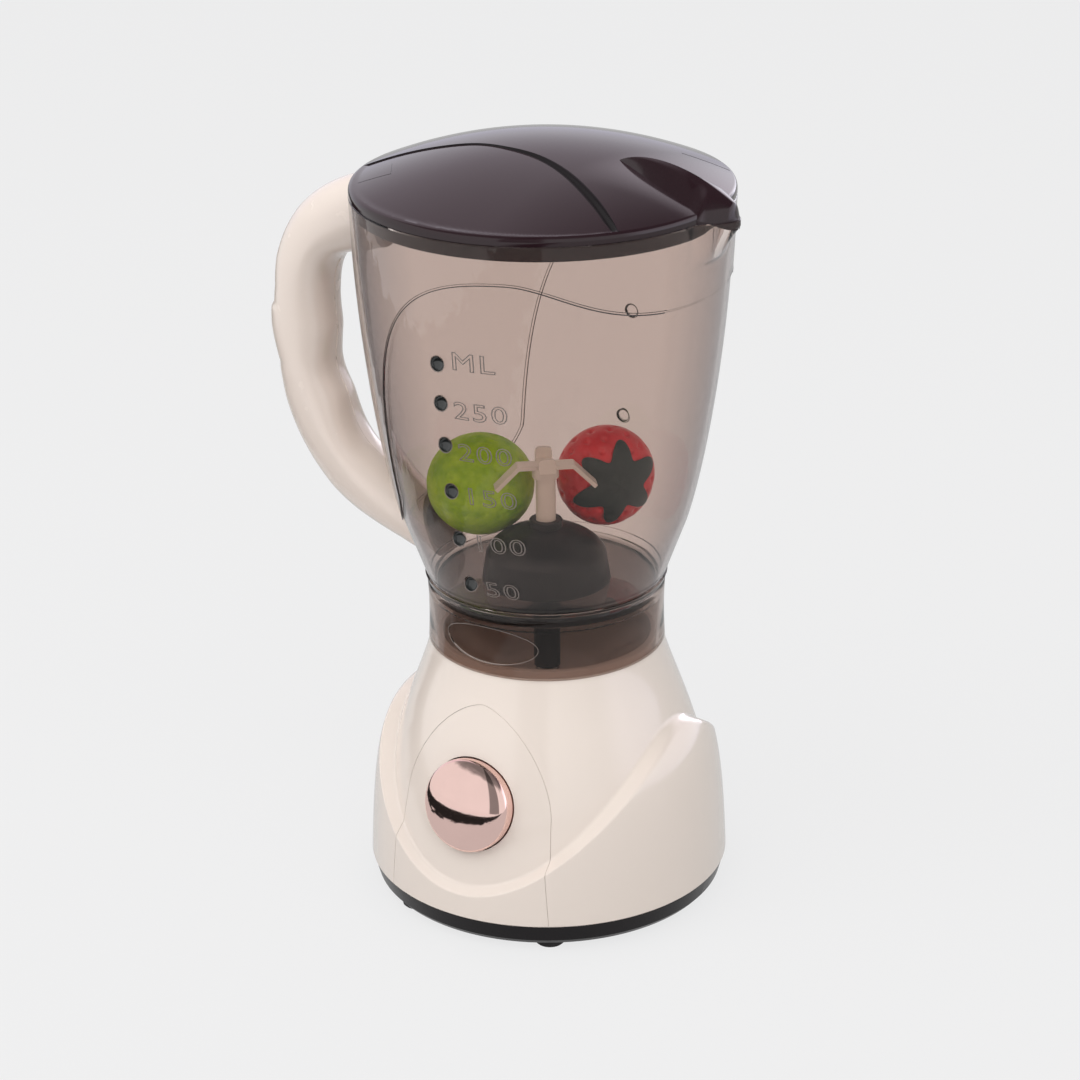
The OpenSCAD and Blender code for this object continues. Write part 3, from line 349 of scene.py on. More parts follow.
def smoke(name, tint, collar=None, ior=1.35, dusty=0.03):
    """Clear smoky plastic that lets lamps through. It is deeper where the eye skims the wall. The
    jug's collar has a darker painted shade that lightens towards its foot as painted light of the
    base."""
    k = Mat(name)
    body = k.mix(k.noise(20, 3), scaled(tint, 0.985), tint)
    skim = k.node("ShaderNodeLayerWeight").outputs["Facing"]
    deep = tuple(c * e for c, e in zip(tint, (0.3, 0.34, 0.4)))
    body = k.mix(k.remap(skim, 0.3, 0.9, 0, 1), body, deep)
    if collar:
        # Painted shade on the collar below the jug's floor, turning to painted light towards its
        # foot
        z = k.axes()["Z"]
        low = k.mix(k.remap(z, 0.0788, 0.0905, 0, 1), scaled(collar, 1.25), collar)
        body = k.mix(k.remap(z, 0.0962, 0.0976, 0, 1), low, body)
    k.set(Base_Color=body, Roughness=k.remap(k.noise(90, 5), 0.35, 0.75, 0.0, dusty),
          Transmission_Weight=1.0, IOR=ior)
    clear = k.shader("ShaderNodeBsdfTransparent", tuple(math.sqrt(c) for c in tint))
    k.surface(k.blend(k.rays()["Is Shadow Ray"], k.b.outputs[0], clear))
    return k.m


def fruit(name, low, high, rough):
    """Soft painted plastic with lighter veins and a grained skin."""
    k = Mat(name)
    k.set(Base_Color=k.mix(k.remap(k.noise(140, 6, 0.65), 0.35, 0.68, 0, 1), low, high),
          Roughness=k.remap(k.noise(300, 4), 0.3, 0.7, rough * 0.8, rough * 1.25),
          Normal=k.bump(k.noise(420, 3), 0.0001, 0.6))
    return k.m


M = {
    "cream": plastic("cream_shell", srgb(234, 221, 211), 0.2, 0.012, coat=0.8),
    "handle": plastic("cream_handle", srgb(234, 220, 210), 0.24, 0.012, coat=0.6),
    "dark": plastic("dark_plastic", (0.012, 0.009, 0.010), 0.22, 0.1, coat=0.3),
    "lid": plastic("lid_smoke", (0.018, 0.007, 0.010), 0.1, 0.06, 0.000006, 600),
    # Painted shade: the step's wall on the lid, which is the lid's own plastic, drawn near black
    "step": plastic("lid_step", (0.004, 0.002, 0.003), 0.3, 0.1, Specular_IOR_Level=0.25),
    "hub": plastic("hub_plastic", (0.006, 0.005, 0.006), 0.34, 0.1, Specular_IOR_Level=0.3),
    # Painted dark reflection for the front dimples
    "dot": plastic("dot_painted_dark", (0.012, 0.014, 0.014), 0.16, 0.1, coat=0.6),
    "mark": plastic("mark_ridges", (0.20, 0.165, 0.15), 0.25, 0.1),
    # Painted shade: near-black lines along the window's edge
    "edge_shade": plastic("window_edge_painted_shade", (0.05, 0.04, 0.04), 0.3, 0.1),
    "white": plastic("white_plastic", (0.70, 0.68, 0.64), 0.4, 0.03),
    "switch": plastic("switch_body", (0.02, 0.02, 0.022), 0.45, 0.1),
    "rubber": plastic("rubber", (0.016, 0.015, 0.015), 0.75, 0.15, 0.00005, 700),
    "sleeve": plastic("battery_sleeve", (0.05, 0.10, 0.14), 0.35, 0.05, coat=0.2),
    "red": plastic("wire_red", (0.45, 0.012, 0.01), 0.4),
    "blue": plastic("wire_blue", (0.01, 0.05, 0.30), 0.4),
    "black": plastic("wire_black", (0.01, 0.01, 0.01), 0.4),
    "steel": metal("steel", (0.62, 0.62, 0.64)),
    "gold": metal("button_metal", (0.97, 0.69, 0.63), 0.05),
    # The jug's third colour is the collar's painted shade
    "jug": smoke("jug_smoke", (0.75, 0.655, 0.61), (0.37, 0.30, 0.27)),
    "floor": smoke("floor_smoke", (0.32, 0.26, 0.245), ior=1.6),
    "ring": plastic("ring_plastic", (0.006, 0.004, 0.005), 0.24, 0.1,
                    Specular_IOR_Level=0.25),
    "blade": plastic("blade_plastic", (0.74, 0.67, 0.60), 0.35, 0.03),
    "lime": fruit("lime_skin", (0.24, 0.49, 0.004), (0.50, 0.76, 0.03), 0.45),
    "berry": fruit("berry_skin", (0.64, 0.003, 0.008), (0.80, 0.01, 0.02), 0.36),
    "leaf": fruit("berry_leaf", (0.002, 0.008, 0.005), (0.005, 0.016, 0.010), 0.45),
}


def piece(ob, body, mat, slot, *nodes):
    """Gives a piece its material and its body, and hides the CAD nodes that it replaces. The slot
    is not used.
    """
    ob.data.materials.clear()
    ob.data.materials.append(mat)
    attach(ob, body)
    if nodes:
        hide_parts(*nodes)


# ---- base housing and front panel ----
BASE_R, LEDGE_RISE, COLS = 52.4, 2.1, 480


def ridge_z(a):
    """Height of the skirt's wavy top edge in the direction a round from the front."""
    return Z_SKIRT + 28.5 - 21 * np.cos(2 * a)


def housing_column(a):
    """Outer outline of the housing in the direction a round from the front."""
    top = float(ridge_z(a))
    side = math.sin(a) ** 2
    low = top + LEDGE_RISE - 0.5 * side
    start = [(BASE_R, Z_SKIRT), (float(skirt_r(Z_SKIRT)) - 0.4, Z_SKIRT),
             (float(skirt_r(Z_SKIRT + 0.4)), Z_SKIRT + 0.4)]
    corner = np.array([float(skirt_r(top)), top])
    foot = np.array([float(cone_r(low)), low])
    ledge = foot - corner
    width = np.linalg.norm(ledge)
    ledge /= width
    down = np.array([float(skirt_r(top - 1)), top - 1]) - corner
    down /= np.linalg.norm(down)
    up = np.array([float(cone_r(low + 1)), low + 1]) - foot
    up /= np.linalg.norm(up)
    round_out = min(0.45 + 1.3 * side ** 4, 0.45 * width)
    round_in = min(0.9, 0.45 * width)
    outer = bezier([corner + down * round_out, corner, corner + ledge * round_out], 7)
    inner = bezier([foot - ledge * round_in, foot, foot + up * round_in], 7)
    skirt = [(float(skirt_r(z)), float(z))
             for z in np.linspace(Z_SKIRT + 0.9, outer[0, 1], 40)[:-1]]
    cone = [(float(cone_r(z)), float(z)) for z in np.linspace(inner[-1, 1], Z_NECK, 72)[1:]]
    return start + skirt + [tuple(p) for p in outer] + [tuple(p) for p in inner] + cone


turn = np.linspace(0, 2 * np.pi, COLS, endpoint=False)
neck_in = [(NECK_R - 0.3, Z_NECK + 0.12), (SPIGOT_R + 0.2, Z_NECK + 0.15),
           (SPIGOT_R, Z_NECK + 0.5), (SPIGOT_R, Z_NECK + 1.9), (SPIGOT_R - 0.3, Z_NECK + 2.2),
           (31.5, Z_NECK + 2.2), (31.2, Z_NECK + 1.9), (30.6, Z_NECK - 1), (30.0, Z_NECK - 2.2)]
dish = [(15.5, Z_DISH + 0.9), (13.5, Z_DISH), (3.7, Z_DISH), (3.5, Z_DISH - 0.2),
        (3.5, Z_DISH - 2), (14, Z_DISH - 2), (31, Z_NECK - 3.4)]
inside = [(float(cone_r(z)) - 2.2, float(z)) for z in np.linspace(Z_NECK - 3.4, Z_SKIRT + 5, 30)]
inside.append((BASE_R, Z_SKIRT + 3.9))
rows = np.array([housing_column(a) + neck_in + dish + inside for a in turn])
out_r = rows[:, :, 0]
grid = np.stack([out_r * np.sin(turn)[:, None], -out_r * np.cos(turn)[:, None], rows[:, :, 1]], -1)
shell = new_object("shell", grid.reshape(-1, 3), grid_faces(COLS, rows.shape[1], True, True))
shade(outward(shell), 40)


ARCH_HALF_W, ARCH_RISE, ARCH_POWER = 24.5, 31, 1.6
LEG_HALF_W, LEG_LEAN, LEG_TALL = 27.3, 2.8, 31.5
PANEL_Y = -31.5, -70


def arch_outline(grow, drop):
    """Front view of the arched panel, from its legs up to its top."""
    steps, leg_steps = 48, 12
    half = []
    for i in range(steps + 1):
        t = math.pi / 2 * i / steps
        half.append(((ARCH_HALF_W + grow) * max(math.cos(t), 0) ** (2 / ARCH_POWER),
                     Z_SKIRT + LEG_TALL + (ARCH_RISE + grow) * math.sin(t) ** (2 / ARCH_POWER)))
    legs = [(LEG_HALF_W + grow - LEG_LEAN * k / leg_steps,
             Z_SKIRT - drop + (LEG_TALL + drop) * k / leg_steps) for k in range(leg_steps)]
    right = legs + half
    return right + [(-x, z) for x, z in reversed(right[:-1])]


def prism_xz(name, outline, y0, y1):
    """A solid that runs along Y, with its outline given as (x, z)."""
    n = len(outline)
    v = [(x, y0, z) for x, z in outline] + [(x, y1, z) for x, z in outline]
    f = [list(range(n)), list(range(2 * n - 1, n - 1, -1))]
    f += [[i, i + n, (i + 1) % n + n, (i + 1) % n] for i in range(n)]
    return outward(new_object(name, v, f))


BUTTON_TILT, BUTTON_AT = math.radians(14.275), (0, -0.0473732, 0.0407)
BUTTON_R, FLANGE_R, BORE_R, STEM_R = 14.0, 15.4, 14.3, 3
CAP_SIDE, CAP_RISE = 1.2, 4.3


def on_button_axis(ob):
    """Turns a piece made along +Z at the origin onto the button's axis."""
    turned_over = Matrix.Rotation(math.pi / 2 - BUTTON_TILT, 4, "X")
    ob.data.transform(Matrix.Translation(BUTTON_AT) @ turned_over)
    return ob


housing = copy_of(shell, "housing_shell")
panel = copy_of(shell, "arched_panel")
bpy.data.objects.remove(shell)
boolean(housing, prism_xz("arch_hole", arch_outline(SEAM / 2, 2), *PANEL_Y), "DIFFERENCE")
boolean(panel, prism_xz("arch_panel", arch_outline(-SEAM / 2, 2), *PANEL_Y), "INTERSECT")
bore = lathe("bore", [(0, -5.1), (BORE_R, -5.1), (BORE_R, 30), (0, 30)], 160)
boolean(panel, on_button_axis(bore), "DIFFERENCE")
piece(shade(housing, 40), "base", M["cream"], "cream_shell", "base_housing")
piece(shade(panel, 40), "base", M["cream"], "cream_shell", "front_panel")

# ---- button ----
dome = [(BUTTON_R * math.sin(t), CAP_SIDE + CAP_RISE * math.cos(t))
        for t in np.linspace(0, math.pi / 2, 40)]
flange = [(BUTTON_R, -5.37), (FLANGE_R, -5.37), (FLANGE_R, -6.87), (12.5, -6.87)]
stem = [(12.5, 0.5), (10, 3.0), (STEM_R, 3.0), (STEM_R, -8.57), (0, -8.57)]
button = on_button_axis(lathe("button_cap", dome + flange + stem, 160, 40))
piece(button, "button", M["gold"], "button_metal", "power_button")

# ---- jug ----
SPOUT_REACH, SPOUT_HALF, SPOUT_DROP = 7.05, 12.0, 14.0
JUG_WALL, WINDOW_STEP, WAIST, RECESS = 1.9, 0.5, 0.3, 0.85


def jug_angles():
    """Angles round from +X, closer together over the spout."""
    w = math.radians(15)
    return np.concatenate([np.linspace(-w, w, 90, endpoint=False),
                           np.linspace(w, 2 * np.pi - w, 420, endpoint=False)])


def spout_push(x, y, z, reach, half):
    """How far the wall is drawn out along +X."""
    t = np.clip((z - (Z_RIM - SPOUT_DROP)) / (SPOUT_DROP * 0.86), 0, 1)
    lift = t ** 1.15 * smooth(t, -0.02, 0.25)
    side = np.where(np.abs(y) < half, 0.5 * (1 + np.cos(np.pi * y / half)), 0.0)
    return np.where(x > 0, reach * lift * side, 0.0)


def turned(name, prof, reach=0.0, half=SPOUT_HALF):
    """A solid of revolution from its outer outline, with the spout drawn out of it."""
    th = jug_angles()
    prof = np.array(prof, float)
    x = prof[:, 0:1] * np.cos(th)[None]
    y = prof[:, 0:1] * np.sin(th)[None]
    z = np.repeat(prof[:, 1:2], len(th), 1)
    if reach:
        x = x + spout_push(x, y, z, reach, half) * smooth(prof[:, 0:1], 20, 40)
    v = np.stack([x, y, z], -1)
    faces = grid_faces(len(prof) - 2, len(th), False, True)
    return shade(outward(close_holes(new_object(name, v[1:-1].reshape(-1, 3), faces))), 40)


def body_heights(z0, z1):
    return np.concatenate([np.linspace(z0, 200, 90), np.linspace(200.7, z1, 28)])


COLLAR_LOW, COLLAR_TALL = Z_NECK + 0.4, Z_BODY - Z_NECK - 0.8


def waist_r(share):
    """The collar's radius at a share of its height: a little slimmer half way up."""
    return COLLAR_R - WAIST * math.sin(math.pi * share)


def jug_outline(shrink, with_collar):
    """The jug's outer outline, moved inwards, with the collar's waist or from above it."""
    prof = [(0, 0)]
    if with_collar:
        prof += [(COLLAR_R - 0.35, Z_NECK + 0.02), (COLLAR_R, COLLAR_LOW)]
        prof += [(waist_r(k / 8), COLLAR_LOW + COLLAR_TALL * k / 8) for k in range(1, 8)]
        prof += [(COLLAR_R, Z_BODY - 0.4), (COLLAR_R - 0.15, Z_BODY - 0.1)]
    start = Z_BODY + (0 if with_collar else 2)
    prof += [(float(jug_r(z)) - shrink, float(z)) for z in body_heights(start, Z_RIM - 0.3)]
    return prof + [(RIM_R - shrink - 0.3, Z_RIM), (0, 0)]


def window_edge(grow):
    """Front view of the window's edge: up from under the handle, over the front and down
    round below the spout."""
    low, peak, right = Z_BODY + 18.4, Z_RIM - 10.6, Z_RIM - 22.5
    side = bezier([(-41, low), (-34, low), (-31, low + 4), (-29, low + 12)], 16)
    over = bezier([(-29, low + 14), (-32, low + 62), (-20, peak), (16.7, peak)], 48)
    down = bezier([(17.5, peak), (30, peak), (40, Z_RIM - 22), (54.5, right)], 32)
    p = np.vstack([side, over, down])
    t = np.gradient(p, axis=0)
    t /= np.linalg.norm(t, axis=1)[:, None]
    p = p + grow * np.stack([-t[:, 1], t[:, 0]], 1)
    ends = [(-80.0, Z_NECK - 5), (-80.0, p[0, 1])], [(80.0, p[-1, 1]), (80.0, Z_NECK - 5)]
    return ends[0] + [tuple(q) for q in p] + ends[1]


jug = turned("jug_shell", jug_outline(0.0, True), SPOUT_REACH)
window = [(x, max(z, Z_BODY + 2.2)) for x, z in window_edge(0)]
boolean(jug, prism_xz("window_a", window, -90, 90), "DIFFERENCE")
for shrink, grow in ((WINDOW_STEP / 2, -0.6), (WINDOW_STEP, None)):
    step = turned("step", jug_outline(shrink, False), SPOUT_REACH - shrink)
    if grow is not None:
        boolean(step, prism_xz("window_b", window_edge(grow), -90, 90), "DIFFERENCE")
    boolean(jug, step, "UNION")

RIB_Z, SOCKET_R, RIM_IN = Z_FLOOR - 3.6, COLLAR_R - 2, RIM_R - JUG_WALL + 0.3
hollow = [(0, 0), (SOCKET_R, Z_NECK - 1), (SOCKET_R, RIB_Z), (SOCKET_R - 1.4, RIB_Z),
          (SOCKET_R - 1.4, RIB_Z + 1.6), (SOCKET_R, RIB_Z + 1.6), (SOCKET_R, Z_BODY + 0.5)]
hollow += [(float(jug_r(z)) - JUG_WALL, float(z)) for z in body_heights(Z_BODY + 1.0, Z_RIM - 0.4)
           if jug_r(z) - JUG_WALL > SOCKET_R]
hollow += [(RIM_IN, Z_RIM), (RIM_IN, Z_RIM + 1), (0, 0)]
boolean(jug, turned("hollow", hollow, SPOUT_REACH - 1.6, SPOUT_HALF - 1.2), "DIFFERENCE")


def round_the_jug(ob):
    """Wraps a flat piece on the window's surface. Its x runs round from the front, z is up and
    y is depth."""
    for v in ob.data.vertices:
        x, y, z = v.co / MM
        r = float(jug_r(z)) - WINDOW_STEP
        a = x / r
        v.co = Vector(((r + y) * math.sin(a), -(r + y) * math.cos(a), z)) * MM
    return ob


# The oval recess in the collar, left bare, and the round dimples beside the marks
BADGE_HALF_W, BADGE_HALF_H, BADGE_Z = 15.3, 5.7, Z_NECK + 9.65
oval = [(BADGE_HALF_W * math.cos(t), BADGE_Z + BADGE_HALF_H * math.sin(t))
        for t in np.linspace(0, 2 * np.pi, 96, endpoint=False)]
recess = prism_xz("recess", oval, -50, -5)
bottom_r = COLLAR_R - RECESS
keep = lathe("keep", [(0, Z_NECK), (bottom_r, Z_NECK), (bottom_r, Z_BODY), (0, Z_BODY)], 256)
boolean(recess, keep, "DIFFERENCE")
boolean(jug, recess, "DIFFERENCE")
badge_edge = []
for x, z in oval + oval[:1]:
    r = waist_r((z - COLLAR_LOW) / COLLAR_TALL) - 0.04
    badge_edge.append((x, -math.sqrt(r * r - x * x), z))
# Each dimple's direction round from the front, in degrees, and its height above the collar
FRONT_DOTS = [(-4, h) for h in (10.7, 26.8, 42.5, 57.3, 70.2, 82.2)]
DOTS = FRONT_DOTS + [(178, h) for h in (35.4, 67.8)]
DOT_R, DOT_DEPTH = 2.2, 1.15


def cap_line(radius, depth, rings=12):
    turns = np.linspace(0, math.pi / 2, rings)
    return [(radius * math.sin(t), -depth * math.cos(t)) for t in turns]


def at_dot(ob, angle, height):
    """Moves a piece made along +Z at the origin onto the window's surface."""
    z = Z_BODY + height
    r = float(jug_r(z)) - WINDOW_STEP
    slope = math.atan2(float(jug_r(z + 2) - jug_r(z - 2)), 4.0)
    ob.data.transform(Matrix.Rotation(math.radians(angle), 4, "Z")
                      @ Matrix.Translation((0, -r * MM, z * MM))
                      @ Matrix.Rotation(math.pi / 2 - slope, 4, "X"))
    return ob


for angle, height in DOTS:
    bowl = lathe("dimple", cap_line(DOT_R, DOT_DEPTH) + [(DOT_R, 2.0), (0, 2.0)], 40, 50)
    boolean(jug, at_dot(bowl, angle, height), "DIFFERENCE")


def join(name, obs):
    bm = bmesh.new()
    for ob in obs:
        bm.from_mesh(ob.data)
        bpy.data.objects.remove(ob)
    me = bpy.data.meshes.new(name)
    bm.to_mesh(me)
    bm.free()
    return add_object(name, me)


LETTER_SIZE, LETTER_STRETCH, LETTER_SPACING, LETTER_RIDGE = 7.6, 1.3, 1.15, 0.14


def lettering(text, middle, height):
    """Letters as thin ridges along their outlines, ready to be wrapped round the jug."""
    cu = bpy.data.curves.new("letters", "FONT")
    cu.body, cu.size, cu.align_x, cu.fill_mode = text, LETTER_SIZE * MM, "CENTER", "NONE"
    cu.bevel_depth, cu.bevel_resolution = LETTER_RIDGE * MM, 1
    cu.space_character, cu.resolution_u = LETTER_SPACING, 3
    ob = add_object("letters", cu)
    shown = ob.evaluated_get(bpy.context.evaluated_depsgraph_get())
    me = bpy.data.meshes.new_from_object(shown)
    bpy.data.objects.remove(ob)
    low = min(v.co.y for v in me.vertices)
    tall = max(v.co.y for v in me.vertices) - low
    for v in me.vertices:
        x, y, z = v.co
        v.co = Vector((x * LETTER_STRETCH + middle * MM, z, (y - low - tall / 2) + height * MM))
    return outward(add_object("letters", me))


def tube(name, path, radius, sides=6):
    """A thin round ridge along an open path of points."""
    p = np.asarray(path, float)
    t = np.gradient(p, axis=0)
    t /= np.linalg.norm(t, axis=1)[:, None]
    side = np.cross(t, (0.0, 0.0, 1.0))
    side = np.where(np.linalg.norm(side, axis=1)[:, None] < 1e-3, (1.0, 0.0, 0.0), side)
    side /= np.linalg.norm(side, axis=1)[:, None]
    up = np.cross(side, t)
    a = np.linspace(0, 2 * np.pi, sides, endpoint=False)
    v = p[:, None] + radius * (side[:, None] * np.cos(a)[:, None]
                               + up[:, None] * np.sin(a)[:, None])
    ends = [list(range(sides)), list(range((len(p) - 1) * sides, len(p) * sides))]
    faces = grid_faces(len(p), sides, False, True) + ends
    return outward(new_object(name, v.reshape(-1, 3), faces))


# Each mark's text, its direction round from the front in degrees, and its height
MARKS = [("ML", 8, 181.2), ("250", 9.5, 166.2), ("200", 10, 153.2), ("150", 10.5, 139.2),
         ("100", 12, 123.7), ("50", 10.5, 107.2)]
ridges = [tube("badge_ridge", badge_edge, 0.1)]
for text, angle, height in MARKS:
    around = (float(jug_r(height)) - WINDOW_STEP) * math.radians(angle)
    ridges.append(round_the_jug(lettering(text, around, height)))
circle = [(2.3 * math.cos(t), 2.3 * math.sin(t), 0.0) for t in np.linspace(0, 2 * np.pi, 41)]
ridges += [at_dot(tube("dot_ring", circle, 0.13), angle, height) for angle, height in DOTS]
shade(jug, 30)
piece(jug, "jug", M["jug"], "jug_smoke", "jug_body")

# Black caps inside the front dimples: a painted dark reflection, as the dimples are in the clear
# jug
cap = cap_line(DOT_R - 0.05, DOT_DEPTH - 0.04) + cap_line(DOT_R - 0.15, DOT_DEPTH - 0.3)[::-1]
dark_dot_caps = [at_dot(lathe("dot", cap, 40, 50), angle, height) for angle, height in FRONT_DOTS]
piece(shade(join("jug_dots_painted_dark", dark_dot_caps), 50), "jug", M["dot"], "hub_plastic")
piece(shade(join("jug_marks", ridges), 60), "jug", M["mark"], "hub_plastic")

# The window's double edge, front and back, as fine dark lines of painted shade
edges = []
for side in (-1, 1):
    for grow, radius, inset in ((0.0, 0.08, 0.3), (-0.6, 0.14, 0.05)):
        line = np.array([q for q in window_edge(grow)[1:-1] if -40 < q[0] < 51])
        r = jug_r(line[:, 1]) - inset
        y = side * np.sqrt(np.maximum(r ** 2 - line[:, 0] ** 2, 1))
        edges.append(tube("edge_line", np.stack([line[:, 0], y, line[:, 1]], 1), radius))
piece(shade(join("window_lines_painted_shade", edges), 60), "jug", M["edge_shade"], "hub_plastic")

# ---- jug floor, hub and coupling ----
FLOOR_R, BEARING_R = 33.45, 4.06
floor_disc = lathe("jug_floor_disc", corner_round(
    [(BEARING_R, 91.4), (BEARING_R + 1.8, 91.4), (BEARING_R + 1.8, 94.4), (FLOOR_R, 94.4),
     (FLOOR_R, Z_FLOOR), (BEARING_R, Z_FLOOR)], [0.1, 0.2, 0.3, 0.2, 0.3, 0.1]))
piece(floor_disc, "jug", M["floor"], "jug_smoke", "jug_floor")
floor_disc.data.materials.append(M["hub"])
for poly in floor_disc.data.polygons:
    if math.hypot(*poly.center[:2]) > (FLOOR_R - 0.35) * MM:
        poly.material_index = 1
crown = bezier([(18, Z_SHOULDER), (16, 108.7), (9.95, 111.5), (4.95, 112.7)], 24)
sleeve = [(4.95, Z_SLEEVE - 0.3), (4.7, Z_SLEEVE), (3.2, Z_SLEEVE), (3.01, Z_SLEEVE - 0.2),
          (3.01, 106.7), (4.95, 106.7), (7.95, 109.4), (16.5, 103.7)]
hub = lathe("hub_dome", [(17.8, Z_FLOOR + 0.02), (19.3, Z_FLOOR + 0.02)]
            + [tuple(q) for q in crown] + sleeve, 160)
piece(hub, "jug", M["hub"], "hub_plastic", "hub_cover")

# ---- handle ----
HANDLE = [(-50, 203.1), (-99, 201.6), (-95, 123.6), (-38, 104.1)]
HANDLE_END, HALF_W, HANDLE_WALL, JUG_GAP, GRIP_POWER = 1.07, 10.0, 2.0, 0.15, 0.92
# Half thickness along the handle, on the side of the fingers and on the side of the palm
FINGER = np.array([
    (0, 11.4), (0.13, 10.9), (0.17, 9.8), (0.21, 8.5), (0.24, 8.14), (0.27, 8.3), (0.30, 8.7),
    (0.33, 9.4), (0.36, 10.1), (0.42, 11.2), (0.465, 12.0), (0.49, 12.0), (0.54, 10.5),
    (0.57, 9.3), (0.60, 8.85), (0.63, 9.2), (0.66, 9.6), (0.69, 8.8), (0.72, 7.7), (0.75, 6.9),
    (0.78, 6.7), (0.81, 7.2), (0.85, 8.0), (0.9, 8.3), (1.07, 8.4)])
PALM = np.array([
    (0, 11.4), (0.21, 11.4), (0.27, 10.9), (0.33, 10.2), (0.36, 9.4), (0.39, 8.5), (0.428, 8.35),
    (0.44, 9.6), (0.48, 9.7), (0.51, 9.2), (0.545, 8.6), (0.555, 8.3), (0.565, 8.9), (0.6, 9.8),
    (0.63, 10.7), (0.66, 11.2), (0.7, 11.7), (0.75, 12.0), (0.81, 11.9), (0.84, 11.2),
    (0.87, 10.2), (0.9, 9.0), (0.93, 7.9), (0.96, 7.0), (1.07, 6.5)])


def handle_line(rings):
    """The handle's middle line, the direction out from it and its half thicknesses."""
    p = np.array(HANDLE, float)
    f = np.linspace(0, HANDLE_END, rings)[:, None]
    d = (3 * (1 - f) ** 2 * (p[1] - p[0]) + 6 * f * (1 - f) * (p[2] - p[1])
         + 3 * f * f * (p[3] - p[2]))
    d /= np.linalg.norm(d, axis=1)[:, None]
    out = np.stack([d[:, 1], -d[:, 0]], 1)
    weight = np.hanning(15)[1:-1]
    wide = []
    for table, reach in ((FINGER, 0.022), (PALM, 0.008)):
        near = f + np.linspace(-reach, reach, len(weight))
        wide.append((np.interp(near, table[:, 0], table[:, 1]) * weight).sum(1) / weight.sum())
    return bezier(p, rings, HANDLE_END), out, *wide


def handle_half(name, side):
    """One hollow half shell of the handle, cut to the jug's wall at both ends."""
    rings = 260
    middle, out, finger, palm = handle_line(rings)
    verts = []
    turns = np.linspace(0, np.pi, 29)
    for i in range(rings):
        for inset, order in ((0.0, turns), (HANDLE_WALL, turns[::-1])):
            for a in order:
                ca, sa = math.cos(a), math.sin(a)
                thick = (finger[i] if ca > 0 else palm[i]) - inset
                q = middle[i] - out[i] * thick * math.copysign(abs(ca) ** GRIP_POWER, ca)
                half_w = (HALF_W - inset) * (sa ** GRIP_POWER if sa > 0 else 0.0)
                verts.append((q[0], side * (SEAM / 2 + half_w), q[1]))
    ob = new_object(name, verts, grid_faces(rings, 2 * len(turns), False, True))
    outward(close_holes(ob, triangulate=True))
    trim = [(0, 0), (COLLAR_R + JUG_GAP, Z_NECK), (COLLAR_R + JUG_GAP, Z_BODY)]
    trim += [(float(jug_r(z)) + JUG_GAP, float(z)) for z in body_heights(Z_BODY + 1, Z_RIM)]
    boolean(ob, turned("trim", trim + [(0, 0)]), "DIFFERENCE")
    return shade(ob, 40)


piece(handle_half("handle_shell_front", -1), "jug", M["handle"], "cream_shell", "handle_front")
piece(handle_half("handle_shell_rear", 1), "jug", M["handle"], "cream_shell", "handle_rear")
grip, out, finger, palm = handle_line(120)
held = slice(28, 82)
ridge = grip[held] - out[held] * (finger[held, None] + 0.02)
ridge = tube("grip_seam", np.stack([ridge[:, 0], 0 * ridge[:, 0], ridge[:, 1]], 1), 0.22, 8)
piece(shade(ridge, 60), "jug", M["handle"], "cream_shell")

# ---- lid ----
LID_DROP, LID_SKIRT_R, LID_WALL = 11.9, 53.2, 2.2
FIELD_X, FIELD_FADE_R, FIELD_R, STEP_MIN, STEP_MORE = (-57.5, 45.8), 52.0, 54.6, 0.4, 1.3


def dome_z(r):
    return Z_TOP - LID_DROP * (r / RIM_R) ** 2


rs = np.concatenate([np.linspace(0, 52, 70), np.linspace(52.4, 54.3, 8)])
roll = bezier([(54.3, dome_z(54.3)), (RIM_R, dome_z(RIM_R) + 0.1), (RIM_R, Z_DOME - 1.6)], 10)
lid_out = [(0, 0)] + [(float(r), float(dome_z(r))) for r in rs if r > 0]
lid_out += [tuple(q) for q in roll[1:]]
lid_out += [(RIM_R, Z_RIM + 0.35), (RIM_R - 0.3, Z_RIM + 0.05),
            (LID_SKIRT_R + 0.3, Z_RIM + 0.05), (LID_SKIRT_R, Z_RIM - 0.3),
            (LID_SKIRT_R, Z_RIM - 4.2), (LID_SKIRT_R - 0.3, Z_RIM - 4.5), (0, 0)]
lid = turned("lid_dome", lid_out)
S_LINE = np.array([
    (-58, -12.9), (-54, -12), (-41.8, -9.3), (-29.3, -7.6), (-18.1, -6.7), (-5.3, -8.9),
    (5.9, -11.5), (16.8, -16), (27.8, -22.3), (35.2, -27.3), (41.8, -32.7), (46, -36.6)])


def s_line(x):
    """The step line's y at x, as a smooth curve through its points."""
    px, py = S_LINE[:, 0], S_LINE[:, 1]
    m = np.gradient(py, px)
    i = np.clip(np.searchsorted(px, x) - 1, 0, len(px) - 2)
    h = px[i + 1] - px[i]
    t = (x - px[i]) / h
    return ((2 * t ** 3 - 3 * t ** 2 + 1) * py[i] + (t ** 3 - 2 * t ** 2 + t) * h * m[i]
            + (-2 * t ** 3 + 3 * t ** 2) * py[i + 1] + (t ** 3 - t ** 2) * h * m[i + 1])


def field_depth(x):
    """How deep the step is at x."""
    return STEP_MIN + STEP_MORE * smooth(x, -20, 42)


def sunk(d, r):
    """How far the front field lies below the dome: it runs out before the rim."""
    return d * (1 - float(smooth(r, FIELD_FADE_R, FIELD_R))) - 0.25 * max(0.0, r - 53.9)


xs = np.linspace(*FIELD_X, 200)
wall_w = 0.35 + 2.0 * smooth(xs, -12, 30) * (1 - smooth(xs, 35, 46))
